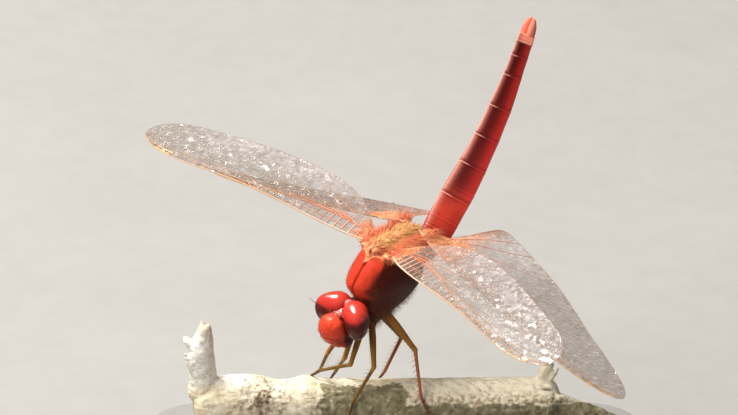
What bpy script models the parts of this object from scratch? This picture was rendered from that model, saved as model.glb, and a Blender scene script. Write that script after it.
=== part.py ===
"""Scarlet darter dragonfly in the obelisk pose, a still life-size display model.

The insect grips a short cut length of dead branch with all six legs and points
its abdomen up at the sky. The branch is carried by two short rods on a flat
display base.

Frames (metres in Blender, named sizes in millimetres here):
* world: Z up, the base's underside at Z = 0, the head towards -Y.
* insect: origin in the middle of the thorax; x = the insect's left, y = to its
  rear, z = its back. Sizes are given as (ahead, left, up).
* perch: origin on the branch's axis; x along the branch, y across it, z up.
"""

import math

import bmesh
import bpy
from mathutils import Matrix, Vector

MM = 0.001
GAP = 0.06            # clearance between two solids that touch

# ----------------------------------------------------------------- placement
BRANCH_HEIGHT = 12.0          # branch axis above the floor
BRANCH_HEADING = 48.6         # branch against world X, degrees
BODY_CENTRE = (-1.48, -0.16, BRANCH_HEIGHT + 17.17)
BODY_PITCH = 11.0             # nose down, degrees
BODY_ROLL = 7.8               # left side down, degrees

# --------------------------------------------------------------------- sizes
FORE_WING_LENGTH = 34.0
HIND_WING_LENGTH = 33.5
WING_THICKNESS = 0.5

EYE_CENTRE = (7.06, 2.01, -3.52)
EYE_RADII = (1.47, 2.20, 2.14)
EYE_TILT = 4.0        # top to the rear, degrees
EYE_TOE = 25.0        # outer end to the front, degrees
CROWN_CENTRE, CROWN_RADII = (6.5, 1.45, -3.0), (1.66, 1.72, 1.72)
CORE_CENTRE, CORE_RADII = (6.95, 0.0, -4.5), (1.75, 2.3, 2.2)
VERTEX_CENTRE, VERTEX_RADII = (7.85, 0.0, -3.05), (0.62, 0.76, 0.60)
OCCIPUT_CENTRE, OCCIPUT_RADII = (6.2, 0.0, -2.4), (0.75, 0.80, 0.72)
FACE_CENTRE, FACE_RADII = (8.85, 0.0, -4.45), (1.70, 1.80, 1.95)
MOUTH_CENTRE, MOUTH_RADII = (8.1, 0.0, -6.0), (1.35, 1.50, 1.30)

ANTENNA_LENGTH, ANTENNA_DIAMETER = 3.2, 0.5

# Thorax levels: height, front, rear, half width.
THORAX_LEVELS = (
    (-6.30, 4.50, 3.10, 0.70), (-6.00, 5.00, 2.20, 1.30),
    (-5.30, 5.00, 0.40, 1.75), (-4.40, 4.60, -2.55, 2.25),
    (-3.40, 4.45, -4.25, 2.60), (-2.20, 4.70, -5.00, 2.90),
    (-1.10, 5.35, -5.25, 3.05), (-0.25, 5.55, -5.30, 3.05),
    (0.80, 4.85, -5.25, 2.95), (1.80, 3.85, -5.10, 2.80),
    (2.60, 2.80, -4.95, 2.60), (3.20, 1.90, -4.75, 2.20),
    (3.60, 1.00, -4.30, 1.55),
)
THORAX_SQUARENESS = 2.3

# Prothorax collar along the body: ahead, radius.
COLLAR = ((4.0, 1.45), (4.6, 1.50), (5.1, 1.20), (5.6, 0.85), (6.2, 0.75))
COLLAR_HEIGHT = -3.35

# Abdomen: rear of the thorax, then heading above the rear axis, width and
# depth, and roll along its length.
ABDOMEN_START = (-5.10, -0.70)
ABDOMEN_HEADING = ((0.0, -5), (1.0, 10), (2.2, 35), (3.5, 46), (5.0, 46),
                   (8.0, 44.5), (12, 46.5), (16, 50), (20, 54), (24, 58),
                   (28, 60), (32, 58))
ABDOMEN_GIRTH = ((0.0, 3.5, 3.3), (1.3, 4.1, 3.5), (3.0, 4.8, 3.7),
                 (5.0, 5.4, 3.7), (9.0, 5.8, 3.7), (12.8, 5.3, 3.35),
                 (15.8, 4.8, 3.1), (18.0, 4.45, 2.9), (22.0, 3.8, 2.6),
                 (25.0, 3.1, 2.2), (28.0, 2.75, 2.0), (29.3, 2.7, 1.95),
                 (30.2, 2.5, 1.85), (32.2, 1.6, 1.5))
ABDOMEN_ROLL = ((1.0, 0), (7.0, 12))    # keel towards the right, degrees
ABDOMEN_JOINTS = (0.0, 1.3, 4.17, 8.4, 12.76, 16.6, 20.6, 24.75, 27.3, 29.2,
                  30.1)
ABDOMEN_LENGTH = 32.2

# Tail tips: share of their length, distance from the middle and radius of the
# two upper ones; share and radius of the plate; how far above and below the
# middle line they lie.
CERCUS = ((0.0, 0.50, 0.42), (0.5, 0.46, 0.40), (1.0, 0.34, 0.27))
EPIPROCT = ((0.0, 0.28), (0.6, 0.26))
CERCUS_LIFT = 0.16
EPIPROCT_DROP = 0.44

# Legs: hip (ahead, left, up) in the insect's frame, then knee, ankle and claw
# in the perch frame, and the femur's swollen diameter.
LEGS = {
    "fore_left": ((5.0, 1.0, -5.5), (-5.32, -2.28, 5.84),
                  (-8.91, 0.04, 4.12), (-9.95, 0.42, 3.30), 0.80),
    "fore_right": ((5.0, -1.0, -5.5), (-8.05, -0.45, 6.65),
                   (-9.01, 1.16, 3.68), (-9.90, 2.12, 2.70), 0.80),
    "mid_left": ((3.7, 1.15, -5.4), (-2.51, -3.04, 5.83),
                 (-5.02, -3.25, 1.37), (-5.54, -3.35, -0.55), 0.85),
    "mid_right": ((3.7, -1.15, -5.4), (-6.03, 0.58, 5.46),
                  (-7.17, 2.42, 2.90), (-7.75, 3.47, 1.55), 0.85),
    "hind_left": ((1.7, 1.3, -4.9), (2.42, -1.82, 7.52),
                  (3.11, -2.95, 1.95), (3.95, -3.38, 0.05), 0.95),
    "hind_right": ((1.7, -1.3, -4.9), (0.84, 2.47, 7.47),
                   (-1.26, 2.25, 2.95), (-1.95, 3.40, 1.55), 0.95),
}
TIBIA_DIAMETER, TARSUS_DIAMETER = 0.60, 0.50

# Branch: position along it, drop of its axis, radius.
BRANCH_LINE = ((-24.3, -0.6, 2.50), (-22.5, -0.3, 2.85), (-20.0, 0.1, 3.20),
               (-17.8, 0.1, 3.30), (-16.0, 0.0, 3.15), (-14.0, -0.1, 2.85),
               (-11.5, 0.0, 2.95), (-10.6, 0.15, 3.15), (-9.4, 0.0, 2.95),
               (-6.0, 0.0, 2.85), (0.0, 0.0, 2.85), (6.0, 0.0, 2.90),
               (12.0, 0.0, 3.00), (16.5, 0.0, 3.05), (18.6, 0.0, 2.85),
               (19.9, -0.1, 2.20))
STUB_LINE = ((-22.9, 1.6, 1.70), (-23.0, 4.0, 1.62), (-23.2, 6.2, 1.55),
             (-23.0, 7.9, 1.25), (-22.8, 9.2, 0.95), (-22.7, 10.0, 0.70))
SPUR_LINE = ((-23.6, 6.6, 0.75), (-24.6, 7.7, 0.55), (-25.3, 8.6, 0.28))
TWIG_LINE = ((17.4, 2.2, 0.95), (17.9, 3.6, 0.72), (18.4, 4.7, 0.68),
             (18.8, 5.5, 0.62))
TAIL_LINE = ((18.6, -0.5, 1.95), (21.5, -1.5, 1.80), (25.0, -2.9, 1.65),
             (28.0, -4.2, 1.50))

BASE_SIZE, BASE_THICKNESS, BASE_BEVEL = (60.0, 38.0), 4.0, 0.8
BASE_CORNER = 7.0
ROD_DIAMETER, ROD_SPACING = 2.4, 22.0

# ------------------------------------------------------------------ finishes
FINISHES = {
    "scarlet": ((0.62, 0.035, 0.018), 0.45, 0.0),
    "eye_red": ((0.42, 0.020, 0.015), 0.15, 0.0),
    "leg_brown": ((0.20, 0.075, 0.022), 0.50, 0.0),
    "wing_clear": ((0.62, 0.60, 0.58), 0.25, 0.0),
    "bark": ((0.62, 0.57, 0.46), 0.85, 0.0),
    "stand_grey": ((0.34, 0.34, 0.33), 0.55, 0.0),
    "stand_steel": ((0.55, 0.55, 0.56), 0.30, 1.0),
}


# ------------------------------------------------------------- frame helpers
def body(ahead, left, up):
    """A point of the insect's frame, from millimetres."""
    return Vector((left, -ahead, up)) * MM


def insect_frame():
    """The insect's frame in the world."""
    return (Matrix.Translation(Vector(BODY_CENTRE) * MM)
            @ Matrix.Rotation(math.radians(BODY_PITCH), 4, "X")
            @ Matrix.Rotation(math.radians(BODY_ROLL), 4, "Y"))


def perch_frame():
    """The branch's frame in the world."""
    return (Matrix.Translation((0, 0, BRANCH_HEIGHT * MM))
            @ Matrix.Rotation(math.radians(BRANCH_HEADING), 4, "Z"))


def between(table, x):
    """Smoothly interpolated row of a table whose first column is x."""
    if x <= table[0][0]:
        return table[0][1:]
    if x >= table[-1][0]:
        return table[-1][1:]
    for i in range(len(table) - 1):
        if x <= table[i + 1][0]:
            break
    x1, x2 = table[i][0], table[i + 1][0]
    before, after = table[max(i - 1, 0)], table[min(i + 2, len(table) - 1)]
    t = (x - x1) / (x2 - x1)
    out = []
    for k in range(1, len(table[0])):
        y1, y2 = table[i][k], table[i + 1][k]
        step = y2 - y1
        m1 = (y2 - before[k]) / (x2 - before[0]) * (x2 - x1)
        m2 = (after[k] - y1) / (after[0] - x1) * (x2 - x1)
        limit = 3 * abs(step)
        m1 = max(-limit, min(limit, m1)) if m1 * step > 0 else 0.0
        m2 = max(-limit, min(limit, m2)) if m2 * step > 0 else 0.0
        out.append((2 * t**3 - 3 * t**2 + 1) * y1 + (t**3 - 2 * t**2 + t) * m1
                   + (3 * t**2 - 2 * t**3) * y2 + (t**3 - t**2) * m2)
    return tuple(out)


# -------------------------------------------------------------- mesh helpers
def finish_material(name):
    """The Principled material of a named finish, made once."""
    material = bpy.data.materials.get(name)
    if material is None:
        colour, roughness, metallic = FINISHES[name]
        material = bpy.data.materials.new(name)
        material.use_nodes = True
        shader = material.node_tree.nodes["Principled BSDF"]
        shader.inputs["Base Color"].default_value = (*colour, 1.0)
        shader.inputs["Roughness"].default_value = roughness
        shader.inputs["Metallic"].default_value = metallic
        material.diffuse_color = (*colour, 1.0)
    return material


def add_object(name, bm, finish, parent):
    """Turns a bmesh into a named object in its parent's frame."""
    bmesh.ops.recalc_face_normals(bm, faces=bm.faces)
    mesh = bpy.data.meshes.new(name)
    bm.to_mesh(mesh)
    bm.free()
    mesh.materials.append(finish_material(finish))
    obj = bpy.data.objects.new(name, mesh)
    bpy.context.scene.collection.objects.link(obj)
    obj.parent = parent
    return obj


def skin(rings):
    """A closed body drawn out ring by ring from its first section's face."""
    bm = bmesh.new()
    circle = bmesh.ops.create_circle(bm, segments=len(rings[0]),
                                     cap_ends=True)["verts"]
    bm.faces.ensure_lookup_table()
    face = bm.faces[0]
    for vert, place in zip(circle, rings[0]):
        vert.co = place
    order = {vert: k for k, vert in enumerate(circle)}
    for number, ring in enumerate(rings[1:]):
        old = [(v.co.copy(), order[v]) for v in face.verts]
        drawn = bmesh.ops.extrude_face_region(bm, geom=[face])["geom"]
        if number:
            bmesh.ops.delete(bm, geom=[face], context="FACES_ONLY")
        face = next(g for g in drawn if isinstance(g, bmesh.types.BMFace))
        order = {vert: min(old, key=lambda o: (o[0] - vert.co).length)[1]
                 for vert in face.verts}
        for vert, k in order.items():
            vert.co = ring[k]
    return bm


def ellipsoid(centre, radii, grow=0.0, around=20, along=12, tilt=0.0,
              toe=0.0):
    """An ellipsoid in the insect's frame, with its poles up and down.

    tilt leans its top to the rear, and toe then turns its left end to the
    front, in degrees.
    """
    ahead, left, up = (r + grow for r in radii)
    bm = bmesh.new()
    bmesh.ops.create_uvsphere(bm, u_segments=around, v_segments=along,
                              radius=MM)
    shape = (Matrix.Translation(body(*centre))
             @ Matrix.Rotation(math.radians(-toe), 4, "Z")
             @ Matrix.Rotation(math.radians(-tilt), 4, "X")
             @ Matrix.Diagonal((left, ahead, up, 1.0)))
    bmesh.ops.transform(bm, matrix=shape, verts=bm.verts)
    return bm


def tube(points, radii, sides=8, start_normal=None, end_normal=None):
    """A tube of straight lengths with mitred bends through points."""
    count = len(points)
    rings = []
    axis = (points[1] - points[0]).normalized()
    side = axis.orthogonal().normalized()
    for i, point in enumerate(points):
        before = (points[i] - points[i - 1]).normalized() if i else None
        after = (points[i + 1] - points[i]).normalized() if i < count - 1 else None
        axis = before if before is not None else after
        if i == 0:
            normal = start_normal or after
        elif i == count - 1:
            normal = end_normal or before
        else:
            normal = (before + after).normalized()
        side = (side - axis * side.dot(axis)).normalized()
        across = axis.cross(side)
        ring = []
        for k in range(sides):
            t = 2 * math.pi * k / sides
            off = (side * math.cos(t) + across * math.sin(t)) * radii[i]
            slide = -off.dot(normal) / axis.dot(normal)
            ring.append(point + off + axis * slide)
        rings.append(ring)
    return skin(rings)


def cut(obj, *cutters):
    """Takes the cutters' volume away, and keeps the largest piece left."""
    for bm in cutters:
        tool = add_object("cutter", bm, "scarlet", obj.parent)
        bpy.context.view_layer.update()
        modifier = obj.modifiers.new("cut", "BOOLEAN")
        modifier.operation = "DIFFERENCE"
        modifier.solver = "EXACT"
        modifier.object = tool
        graph = bpy.context.evaluated_depsgraph_get()
        mesh = bpy.data.meshes.new_from_object(obj.evaluated_get(graph))
        obj.modifiers.clear()
        old, obj.data = obj.data, mesh
        bpy.data.meshes.remove(old)
        old = tool.data
        bpy.data.objects.remove(tool)
        bpy.data.meshes.remove(old)
    keep_largest(obj)


def join(obj, *others):
    """Adds the others' volume to the object."""
    for bm in others:
        tool = add_object("adder", bm, "scarlet", obj.parent)
        bpy.context.view_layer.update()
        modifier = obj.modifiers.new("join", "BOOLEAN")
        modifier.operation = "UNION"
        modifier.solver = "EXACT"
        modifier.object = tool
        graph = bpy.context.evaluated_depsgraph_get()
        mesh = bpy.data.meshes.new_from_object(obj.evaluated_get(graph))
        obj.modifiers.clear()
        old, obj.data = obj.data, mesh
        bpy.data.meshes.remove(old)
        old = tool.data
        bpy.data.objects.remove(tool)
        bpy.data.meshes.remove(old)


def keep_largest(obj):
    """Drops every loose island but the largest, and merges doubled points."""
    bm = bmesh.new()
    bm.from_mesh(obj.data)
    bmesh.ops.remove_doubles(bm, verts=bm.verts, dist=2e-6)
    bmesh.ops.dissolve_degenerate(bm, edges=bm.edges, dist=2e-6)
    bm.verts.ensure_lookup_table()
    seen, islands = set(), []
    for start in bm.verts:
        if start in seen:
            continue
        seen.add(start)
        island, queue = [], [start]
        while queue:
            vert = queue.pop()
            island.append(vert)
            for edge in vert.link_edges:
                other = edge.other_vert(vert)
                if other not in seen:
                    seen.add(other)
                    queue.append(other)
        islands.append(island)
    islands.sort(key=len)
    for island in islands[:-1]:
        bmesh.ops.delete(bm, geom=island, context="VERTS")
    bmesh.ops.triangulate(bm, faces=bm.faces)
    bmesh.ops.recalc_face_normals(bm, faces=bm.faces)
    bm.to_mesh(obj.data)
    bm.free()


# --------------------------------------------------------------------- head
def mirrored(centre, side):
    """The centre moved to the given side of the body."""
    return (centre[0], centre[1] * side, centre[2])


def eye_shapes(side, grow=0.0):
    """One compound eye, swept forward, and its part that meets the other."""
    return (ellipsoid(mirrored(EYE_CENTRE, side), EYE_RADII, grow,
                      around=24, along=14, tilt=EYE_TILT, toe=side * EYE_TOE),
            ellipsoid(mirrored(CROWN_CENTRE, side), CROWN_RADII, grow, 18, 10))


def both_eyes():
    """The room that the two eyes take, with clearance."""
    return (*eye_shapes(1, GAP), *eye_shapes(-1, GAP))


def far_half(side):
    """A block that fills everything past the head's middle plane."""
    bm = bmesh.new()
    bmesh.ops.create_cube(bm, size=16 * MM)
    middle = body(CROWN_CENTRE[0], 0.0, CROWN_CENTRE[2])
    middle.x = side * (0.5 * GAP - 8) * MM
    bmesh.ops.translate(bm, verts=bm.verts, vec=middle)
    return bm


def head_shapes(grow=0.0):
    """The head's own volumes: capsule, vertex and occiput."""
    return (ellipsoid(CORE_CENTRE, CORE_RADII, grow),
            ellipsoid(VERTEX_CENTRE, VERTEX_RADII, grow, 14, 8),
            ellipsoid(OCCIPUT_CENTRE, OCCIPUT_RADII, grow, 14, 8))


def face_shape(grow=0.0):
    """The bulging frons and clypeus."""
    return ellipsoid(FACE_CENTRE, FACE_RADII, grow, 20, 12, tilt=-12)


def build_head(parent):
    """Head capsule, face, mouthparts, eyes and feelers."""
    core, vertex, occiput = head_shapes()
    head = add_object("head", core, "scarlet", parent)
    join(head, vertex, occiput)
    cut(head, *both_eyes())

    face = add_object("face", face_shape(), "scarlet", parent)
    cut(face, *head_shapes(GAP), *both_eyes())

    mouth = add_object("mouthparts", ellipsoid(MOUTH_CENTRE, MOUTH_RADII,
                                               around=16, along=10),
                       "scarlet", parent)
    cut(mouth, *head_shapes(GAP), face_shape(GAP), *both_eyes())

    for side, word in ((1, "left"), (-1, "right")):
        outer, crown = eye_shapes(side)
        eye = add_object(f"eye_{word}", outer, "eye_red", parent)
        join(eye, crown)
        cut(eye, far_half(side))

        start = body(8.25, side * 0.80, -2.85)
        lean = body(0.62, side * 0.50, 0.60).normalized()
        tip = start + lean * ANTENNA_LENGTH * MM
        radius = 0.5 * ANTENNA_DIAMETER * MM
        feeler = add_object(
            f"antenna_{word}",
            tube([start, start.lerp(tip, 0.5), tip], [radius] * 3, sides=6),
            "leg_brown", parent)
        cut(feeler, *head_shapes(GAP), face_shape(GAP), *both_eyes())


# ------------------------------------------------------------------- thorax
def thorax_shape(grow=0.0, around=24):
    """The deep slanted thorax, level by level from the hips to the back."""
    rings = []
    for i, (up, front, rear, half) in enumerate(THORAX_LEVELS):
        if i == 0:
            up -= grow
        elif i == len(THORAX_LEVELS) - 1:
            up += grow
        mid, reach = 0.5 * (front + rear), 0.5 * (front - rear) + grow
        half += grow
        ring = []
        for k in range(around):
            t = 2 * math.pi * k / around
            c, s = math.cos(t), math.sin(t)
            power = 2 / THORAX_SQUARENESS
            ahead = math.copysign(abs(c) ** power, c) * reach
            left = math.copysign(abs(s) ** power, s) * half
            ring.append(body(mid + ahead, left, up))
        rings.append(ring)
    return skin(rings)


def build_thorax(parent):
    """The thorax and the small collar that carries the head."""
    add_object("thorax", thorax_shape(), "scarlet", parent)
    rings = []
    for ahead, radius in COLLAR:
        rings.append([body(ahead, radius * math.sin(2 * math.pi * k / 16),
                           COLLAR_HEIGHT + radius
                           * math.cos(2 * math.pi * k / 16))
                      for k in range(16)])
    collar = add_object("prothorax", skin(rings), "scarlet", parent)
    cut(collar, thorax_shape(GAP), *head_shapes(GAP), *both_eyes())


# ------------------------------------------------------------------ abdomen
def abdomen_path(step=0.05):
    """Points (length, ahead, up, heading) along the abdomen's middle line."""
    ahead, up = ABDOMEN_START
    path, s = [], 0.0
    while s <= ABDOMEN_LENGTH + step:
        heading = math.radians(between(ABDOMEN_HEADING, s)[0])
        path.append((s, ahead, up, heading))
        ahead -= math.cos(heading) * step
        up += math.sin(heading) * step
        s += step
    return tuple(path)


def abdomen_ring(path, s, shrink=1.0, sides=16):
    """The roof-shaped section of the abdomen at length s."""
    ahead, up, heading = between(path, s)
    width, depth = between(ABDOMEN_GIRTH, s)
    width, depth = width * shrink, depth * shrink
    roll = math.radians(between(ABDOMEN_ROLL, s)[0])
    out = []
    for k in range(sides):
        t = 2 * math.pi * k / sides
        left = 0.5 * width * math.sin(t)
        flank = abs(math.sin(t))
        if math.cos(t) >= 0:
            rise = 0.60 * depth * (1 - flank ** 1.2)
        else:
            rise = -0.40 * depth * (1 - flank ** 2.4)
        left, rise = (left * math.cos(roll) - rise * math.sin(roll),
                      left * math.sin(roll) + rise * math.cos(roll))
        out.append(body(ahead + rise * math.sin(heading), left,
                        up + rise * math.cos(heading)))
    return out


def build_abdomen(parent):
    """Ten abdomen segments and the tail appendages."""
    path = abdomen_path()
    for i in range(10):
        s0 = ABDOMEN_JOINTS[i] + 0.5 * GAP
        s1 = ABDOMEN_JOINTS[i + 1] - 0.5 * GAP
        if i == 0:
            s0 = -0.0
        steps = (0.0, 0.3, 0.65, 1.0) if i < 3 else (0.0, 0.5, 1.0)
        rings = [abdomen_ring(path, s0 + (s1 - s0) * t,
                              0.97 if t in (0.0, 1.0) else 1.0)
                 for t in steps]
        segment = add_object(f"abdomen_{i + 1}", skin(rings), "scarlet",
                             parent)
        if i == 0:
            cut(segment, thorax_shape(GAP))

    # Two upper appendages and the plate between them.
    s0, s1 = ABDOMEN_JOINTS[10] + 0.5 * GAP, ABDOMEN_LENGTH
    for side, word in ((1, "left"), (-1, "right")):
        points, radii = [], []
        for t, off, r in CERCUS:
            ahead, up, heading = between(path, s0 + (s1 - s0) * t)
            points.append(body(ahead + CERCUS_LIFT * math.sin(heading),
                               side * off,
                               up + CERCUS_LIFT * math.cos(heading)))
            radii.append(r * MM)
        add_object(f"cercus_{word}", tube(points, radii, sides=8), "scarlet",
                   parent)
    points, radii = [], []
    for t, r in EPIPROCT:
        ahead, up, heading = between(path, s0 + (s1 - s0) * t)
        points.append(body(ahead - EPIPROCT_DROP * math.sin(heading), 0.0,
                           up - EPIPROCT_DROP * math.cos(heading)))
        radii.append(r * MM)
    add_object("epiproct", tube(points, radii, sides=8), "scarlet", parent)


# -------------------------------------------------------------------- wings
# Outline stations: fraction of the length, leading edge, trailing edge
# (fractions of the length, positive ahead).
FORE_OUTLINE = (
    (-0.030, 0.000, -0.030), (0.00, 0.004, -0.045), (0.03, 0.012, -0.080),
    (0.08, 0.022, -0.128), (0.17, 0.026, -0.192), (0.28, 0.022, -0.222),
    (0.40, 0.013, -0.231), (0.52, 0.005, -0.231), (0.65, 0.003, -0.222),
    (0.80, -0.002, -0.213), (0.90, -0.022, -0.200), (0.96, -0.052, -0.173),
    (0.99, -0.082, -0.142), (1.000, -0.105, -0.115),
)
HIND_OUTLINE = (
    (-0.030, 0.004, -0.040), (0.00, 0.008, -0.052), (0.03, 0.012, -0.066),
    (0.055, 0.016, -0.100), (0.065, 0.017, -0.200), (0.075, 0.018, -0.275),
    (0.095, 0.019, -0.303), (0.13, 0.019, -0.312), (0.20, 0.014, -0.312),
    (0.30, 0.006, -0.307), (0.42, 0.000, -0.293), (0.55, -0.005, -0.263),
    (0.66, -0.010, -0.232), (0.78, -0.020, -0.205), (0.88, -0.040, -0.178),
    (0.95, -0.063, -0.152), (0.985, -0.084, -0.128), (1.000, -0.100, -0.108),
)
# Root (ahead, left, up), sweep forward, rise, nose-down twist, arch.
WINGS = {
    "fore_left": ((0.52, 2.03, 3.12), 15.4, 5.4, 7.0, 0.034),
    "fore_right": ((0.52, -2.03, 3.12), 15.8, 4.9, -1.9, 0.034),
    "hind_left": ((-4.50, 2.35, 3.35), 4.5, -12.7, -10.6, -0.008),
    "hind_right": ((-4.50, -2.35, 3.35), 7.6, -11.0, -24.4, -0.008),
}


def wing_axes(side, sweep, rise, twist):
    """Outward, forward and upward directions of a wing, insect's frame."""
    s, r, t = (math.radians(v) for v in (sweep, rise, twist))
    out = Vector((math.sin(s) * math.cos(r), side * math.cos(s) * math.cos(r),
                  math.sin(r)))
    fore = Vector((1, 0, 0))
    fore = (fore - out * fore.dot(out)).normalized()
    top = out.cross(fore) * side
    if top.z < 0:
        top = -top
    return (out, fore * math.cos(t) - top * math.sin(t),
            top * math.cos(t) + fore * math.sin(t))


def build_wing(name, parent):
    """One wing plate with its true outline, arched along its length."""
    root, sweep, rise, twist, arch = WINGS[name]
    side = 1 if name.endswith("left") else -1
    out, fore, top = wing_axes(side, sweep, rise, twist)
    hind = name.startswith("hind")
    length = HIND_WING_LENGTH if hind else FORE_WING_LENGTH
    outline = HIND_OUTLINE if hind else FORE_OUTLINE
    marks = [row[0] for row in outline]
    stations = []
    for x1, x2 in zip(marks, marks[1:]):
        parts = 2 if x2 - x1 > 0.05 else 1
        stations += [x1 + (x2 - x1) * k / parts for k in range(parts)]
    stations.append(marks[-1])
    rings = []
    for x in stations:
        lead, trail = between(outline, x)
        bow = 4 * arch * max(x, 0.0) * (1 - x)
        half = 0.5 * WING_THICKNESS / length
        ring = []
        chords = (0.0, 0.06, 0.5, 0.94, 1.0)
        for c, h in ([(c, half) for c in chords]
                     + [(c, -half) for c in reversed(chords)]):
            if c in (0.0, 1.0):
                h *= 0.6
            y = lead + (trail - lead) * c
            p = Vector(root) + length * (out * x + fore * y
                                         + top * (bow + h))
            ring.append(body(*p))
        rings.append(ring)
    wing = add_object(f"wing_{name}", skin(rings), "wing_clear", parent)
    cut(wing, thorax_shape(GAP))


# --------------------------------------------------------------------- legs
def build_leg(name, parent, to_insect):
    """Femur, tibia and tarsus of one leg, mitred at knee and ankle."""
    hip, knee, ankle, claw, girth = LEGS[name]
    hip = body(*hip)
    knee, ankle, claw = (to_insect @ (Vector(p) * MM)
                         for p in (knee, ankle, claw))
    thigh, shin, foot = ((knee - hip).normalized(),
                         (ankle - knee).normalized(),
                         (claw - ankle).normalized())
    at_knee, at_ankle = (thigh + shin).normalized(), (shin + foot).normalized()
    half = 0.5 * GAP * MM
    r = 0.5 * girth * MM
    rt, rf = 0.5 * TIBIA_DIAMETER * MM, 0.5 * TARSUS_DIAMETER * MM

    end = knee - thigh * half
    points = [hip] + [hip.lerp(end, t) for t in (0.25, 0.6, 0.9)] + [end]
    femur = add_object(
        f"femur_{name}",
        tube(points, [r * 0.85, r, r * 0.88, r * 0.75, r * 0.78],
             end_normal=at_knee), "leg_brown", parent)
    cut(femur, thorax_shape(GAP))

    start, end = knee + shin * half, ankle - shin * half
    points = [start] + [start.lerp(end, t) for t in (0.12, 0.6)] + [end]
    add_object(f"tibia_{name}",
               tube(points, [rt * 1.02, rt, rt * 0.92, rt * 0.9],
                    start_normal=at_knee, end_normal=at_ankle),
               "leg_brown", parent)

    start = ankle + foot * half
    add_object(f"tarsus_{name}",
               tube([start, start.lerp(claw, 0.6), claw],
                    [rf, rf, rf * 0.98], start_normal=at_ankle),
               "leg_brown", parent)


# -------------------------------------------------------------------- perch
def limb(line, grow=0.0, sides=14, knobs=0.0, step=None):
    """A round length of wood along (x, z, radius) stations of the perch."""
    xs = [Vector((x, 0, z)) for x, z, _ in line]
    rings = []
    for i, (x, z, radius) in enumerate(line):
        ahead = xs[min(i + 1, len(xs) - 1)] - xs[max(i - 1, 0)]
        axis = ahead.normalized()
        across = Vector((0, 1, 0))
        rise = axis.cross(across)
        ring = []
        for k in range(sides):
            t = 2 * math.pi * k / sides
            r = radius + grow
            r *= 1 + knobs * math.sin(3 * t + 0.7 * i) * math.cos(1.9 * i)
            shift = Vector((0, 0, 0))
            if grow and i in (0, len(line) - 1):
                shift = axis * (grow if i else -grow)
            ring.append((xs[i] + shift + (across * math.cos(t)
                                          + rise * math.sin(t)) * r) * MM)
        rings.append(ring)
    return skin(rings)


def build_perch(parent):
    """The cut length of dead branch with its broken stubs."""
    add_object("perch_branch", limb(BRANCH_LINE, sides=16), "bark", parent)
    branch = limb(BRANCH_LINE, GAP, sides=16)
    stub = add_object("perch_stub", limb(STUB_LINE, sides=14), "bark", parent)
    cut(stub, branch)
    spur = add_object("perch_spur", limb(SPUR_LINE, sides=8), "bark", parent)
    cut(spur, limb(STUB_LINE, GAP, sides=14))
    twig = add_object("perch_twig", limb(TWIG_LINE, sides=10), "bark", parent)
    cut(twig, limb(BRANCH_LINE, GAP, sides=16))
    tail = add_object("perch_tail", limb(TAIL_LINE, sides=12), "bark", parent)
    cut(tail, limb(BRANCH_LINE, GAP, sides=16))


# -------------------------------------------------------------------- stand
def build_stand(perch):
    """A flat base with round corners, and two short rods to the branch."""
    rings = []
    profile = ((0.0, 0.3), (0.3, 0.0), (BASE_THICKNESS - BASE_BEVEL, 0.0),
               (BASE_THICKNESS - 0.3 * BASE_BEVEL, 0.3 * BASE_BEVEL),
               (BASE_THICKNESS, BASE_BEVEL))
    steps = 7
    for z, inset in profile:
        ring = []
        for corner in range(4):
            cx = (0.5 * BASE_SIZE[0] - BASE_CORNER) * (1, -1, -1, 1)[corner]
            cy = (0.5 * BASE_SIZE[1] - BASE_CORNER) * (1, 1, -1, -1)[corner]
            for k in range(steps):
                t = 0.5 * math.pi * (corner + k / (steps - 1))
                r = BASE_CORNER - inset
                ring.append(Vector((cx + r * math.cos(t),
                                    cy + r * math.sin(t),
                                    z - BRANCH_HEIGHT)) * MM)
        rings.append(ring)
    add_object("stand_base", skin(rings), "stand_grey", perch)

    for side, word in ((-1, "a"), (1, "b")):
        x = side * 0.5 * ROD_SPACING
        foot = Vector((x, 0, BASE_THICKNESS + GAP - BRANCH_HEIGHT)) * MM
        top = Vector((x, 0, -1.0)) * MM
        radius = 0.5 * ROD_DIAMETER * MM
        rod = add_object(f"stand_rod_{word}",
                         tube([foot, foot.lerp(top, 0.5), top], [radius] * 3,
                              sides=16), "stand_steel", perch)
        cut(rod, limb(BRANCH_LINE, GAP, sides=16))


# --------------------------------------------------------------------- main
def add_frame(name, matrix):
    """An empty that carries the parts of one frame."""
    empty = bpy.data.objects.new(name, None)
    empty.empty_display_size = 0.01
    bpy.context.scene.collection.objects.link(empty)
    empty.matrix_world = matrix
    return empty


def main():
    """Builds every part."""
    for obj in list(bpy.data.objects):
        bpy.data.objects.remove(obj)

    insect = add_frame("frame_insect", insect_frame())
    perch = add_frame("frame_perch", perch_frame())
    bpy.context.view_layer.update()

    build_head(insect)
    build_thorax(insect)
    build_abdomen(insect)
    for name in WINGS:
        build_wing(name, insect)
    to_insect = insect_frame().inverted() @ perch_frame()
    for name in LEGS:
        build_leg(name, insect, to_insect)
    build_perch(perch)
    build_stand(perch)
    bpy.context.view_layer.update()


main()
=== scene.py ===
"""The looks of the scarlet darter dragonfly on its cut branch and stand.

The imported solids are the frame. Over them lie the finished skins: head, eyes, thorax, abdomen, legs and
hair of the insect, four veined wings, the weathered branch and the painted stand, on a pale floor under
soft studio light.

Lengths are millimetres in two working frames until a piece is finished:
* insect: x = its left, y = to its rear, z = its back;
* perch: x along the branch, y across it, z up.
"""

from __future__ import annotations

import logging
from dataclasses import dataclass, field
from enum import Enum
from math import atan2, copysign, cos, exp, hypot, pi, radians, sin, sqrt
from typing import Callable, ClassVar, Iterable, Sequence

import bmesh
import bpy
import numpy as np
from mathutils import Matrix, Vector, geometry, kdtree, noise

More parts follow.
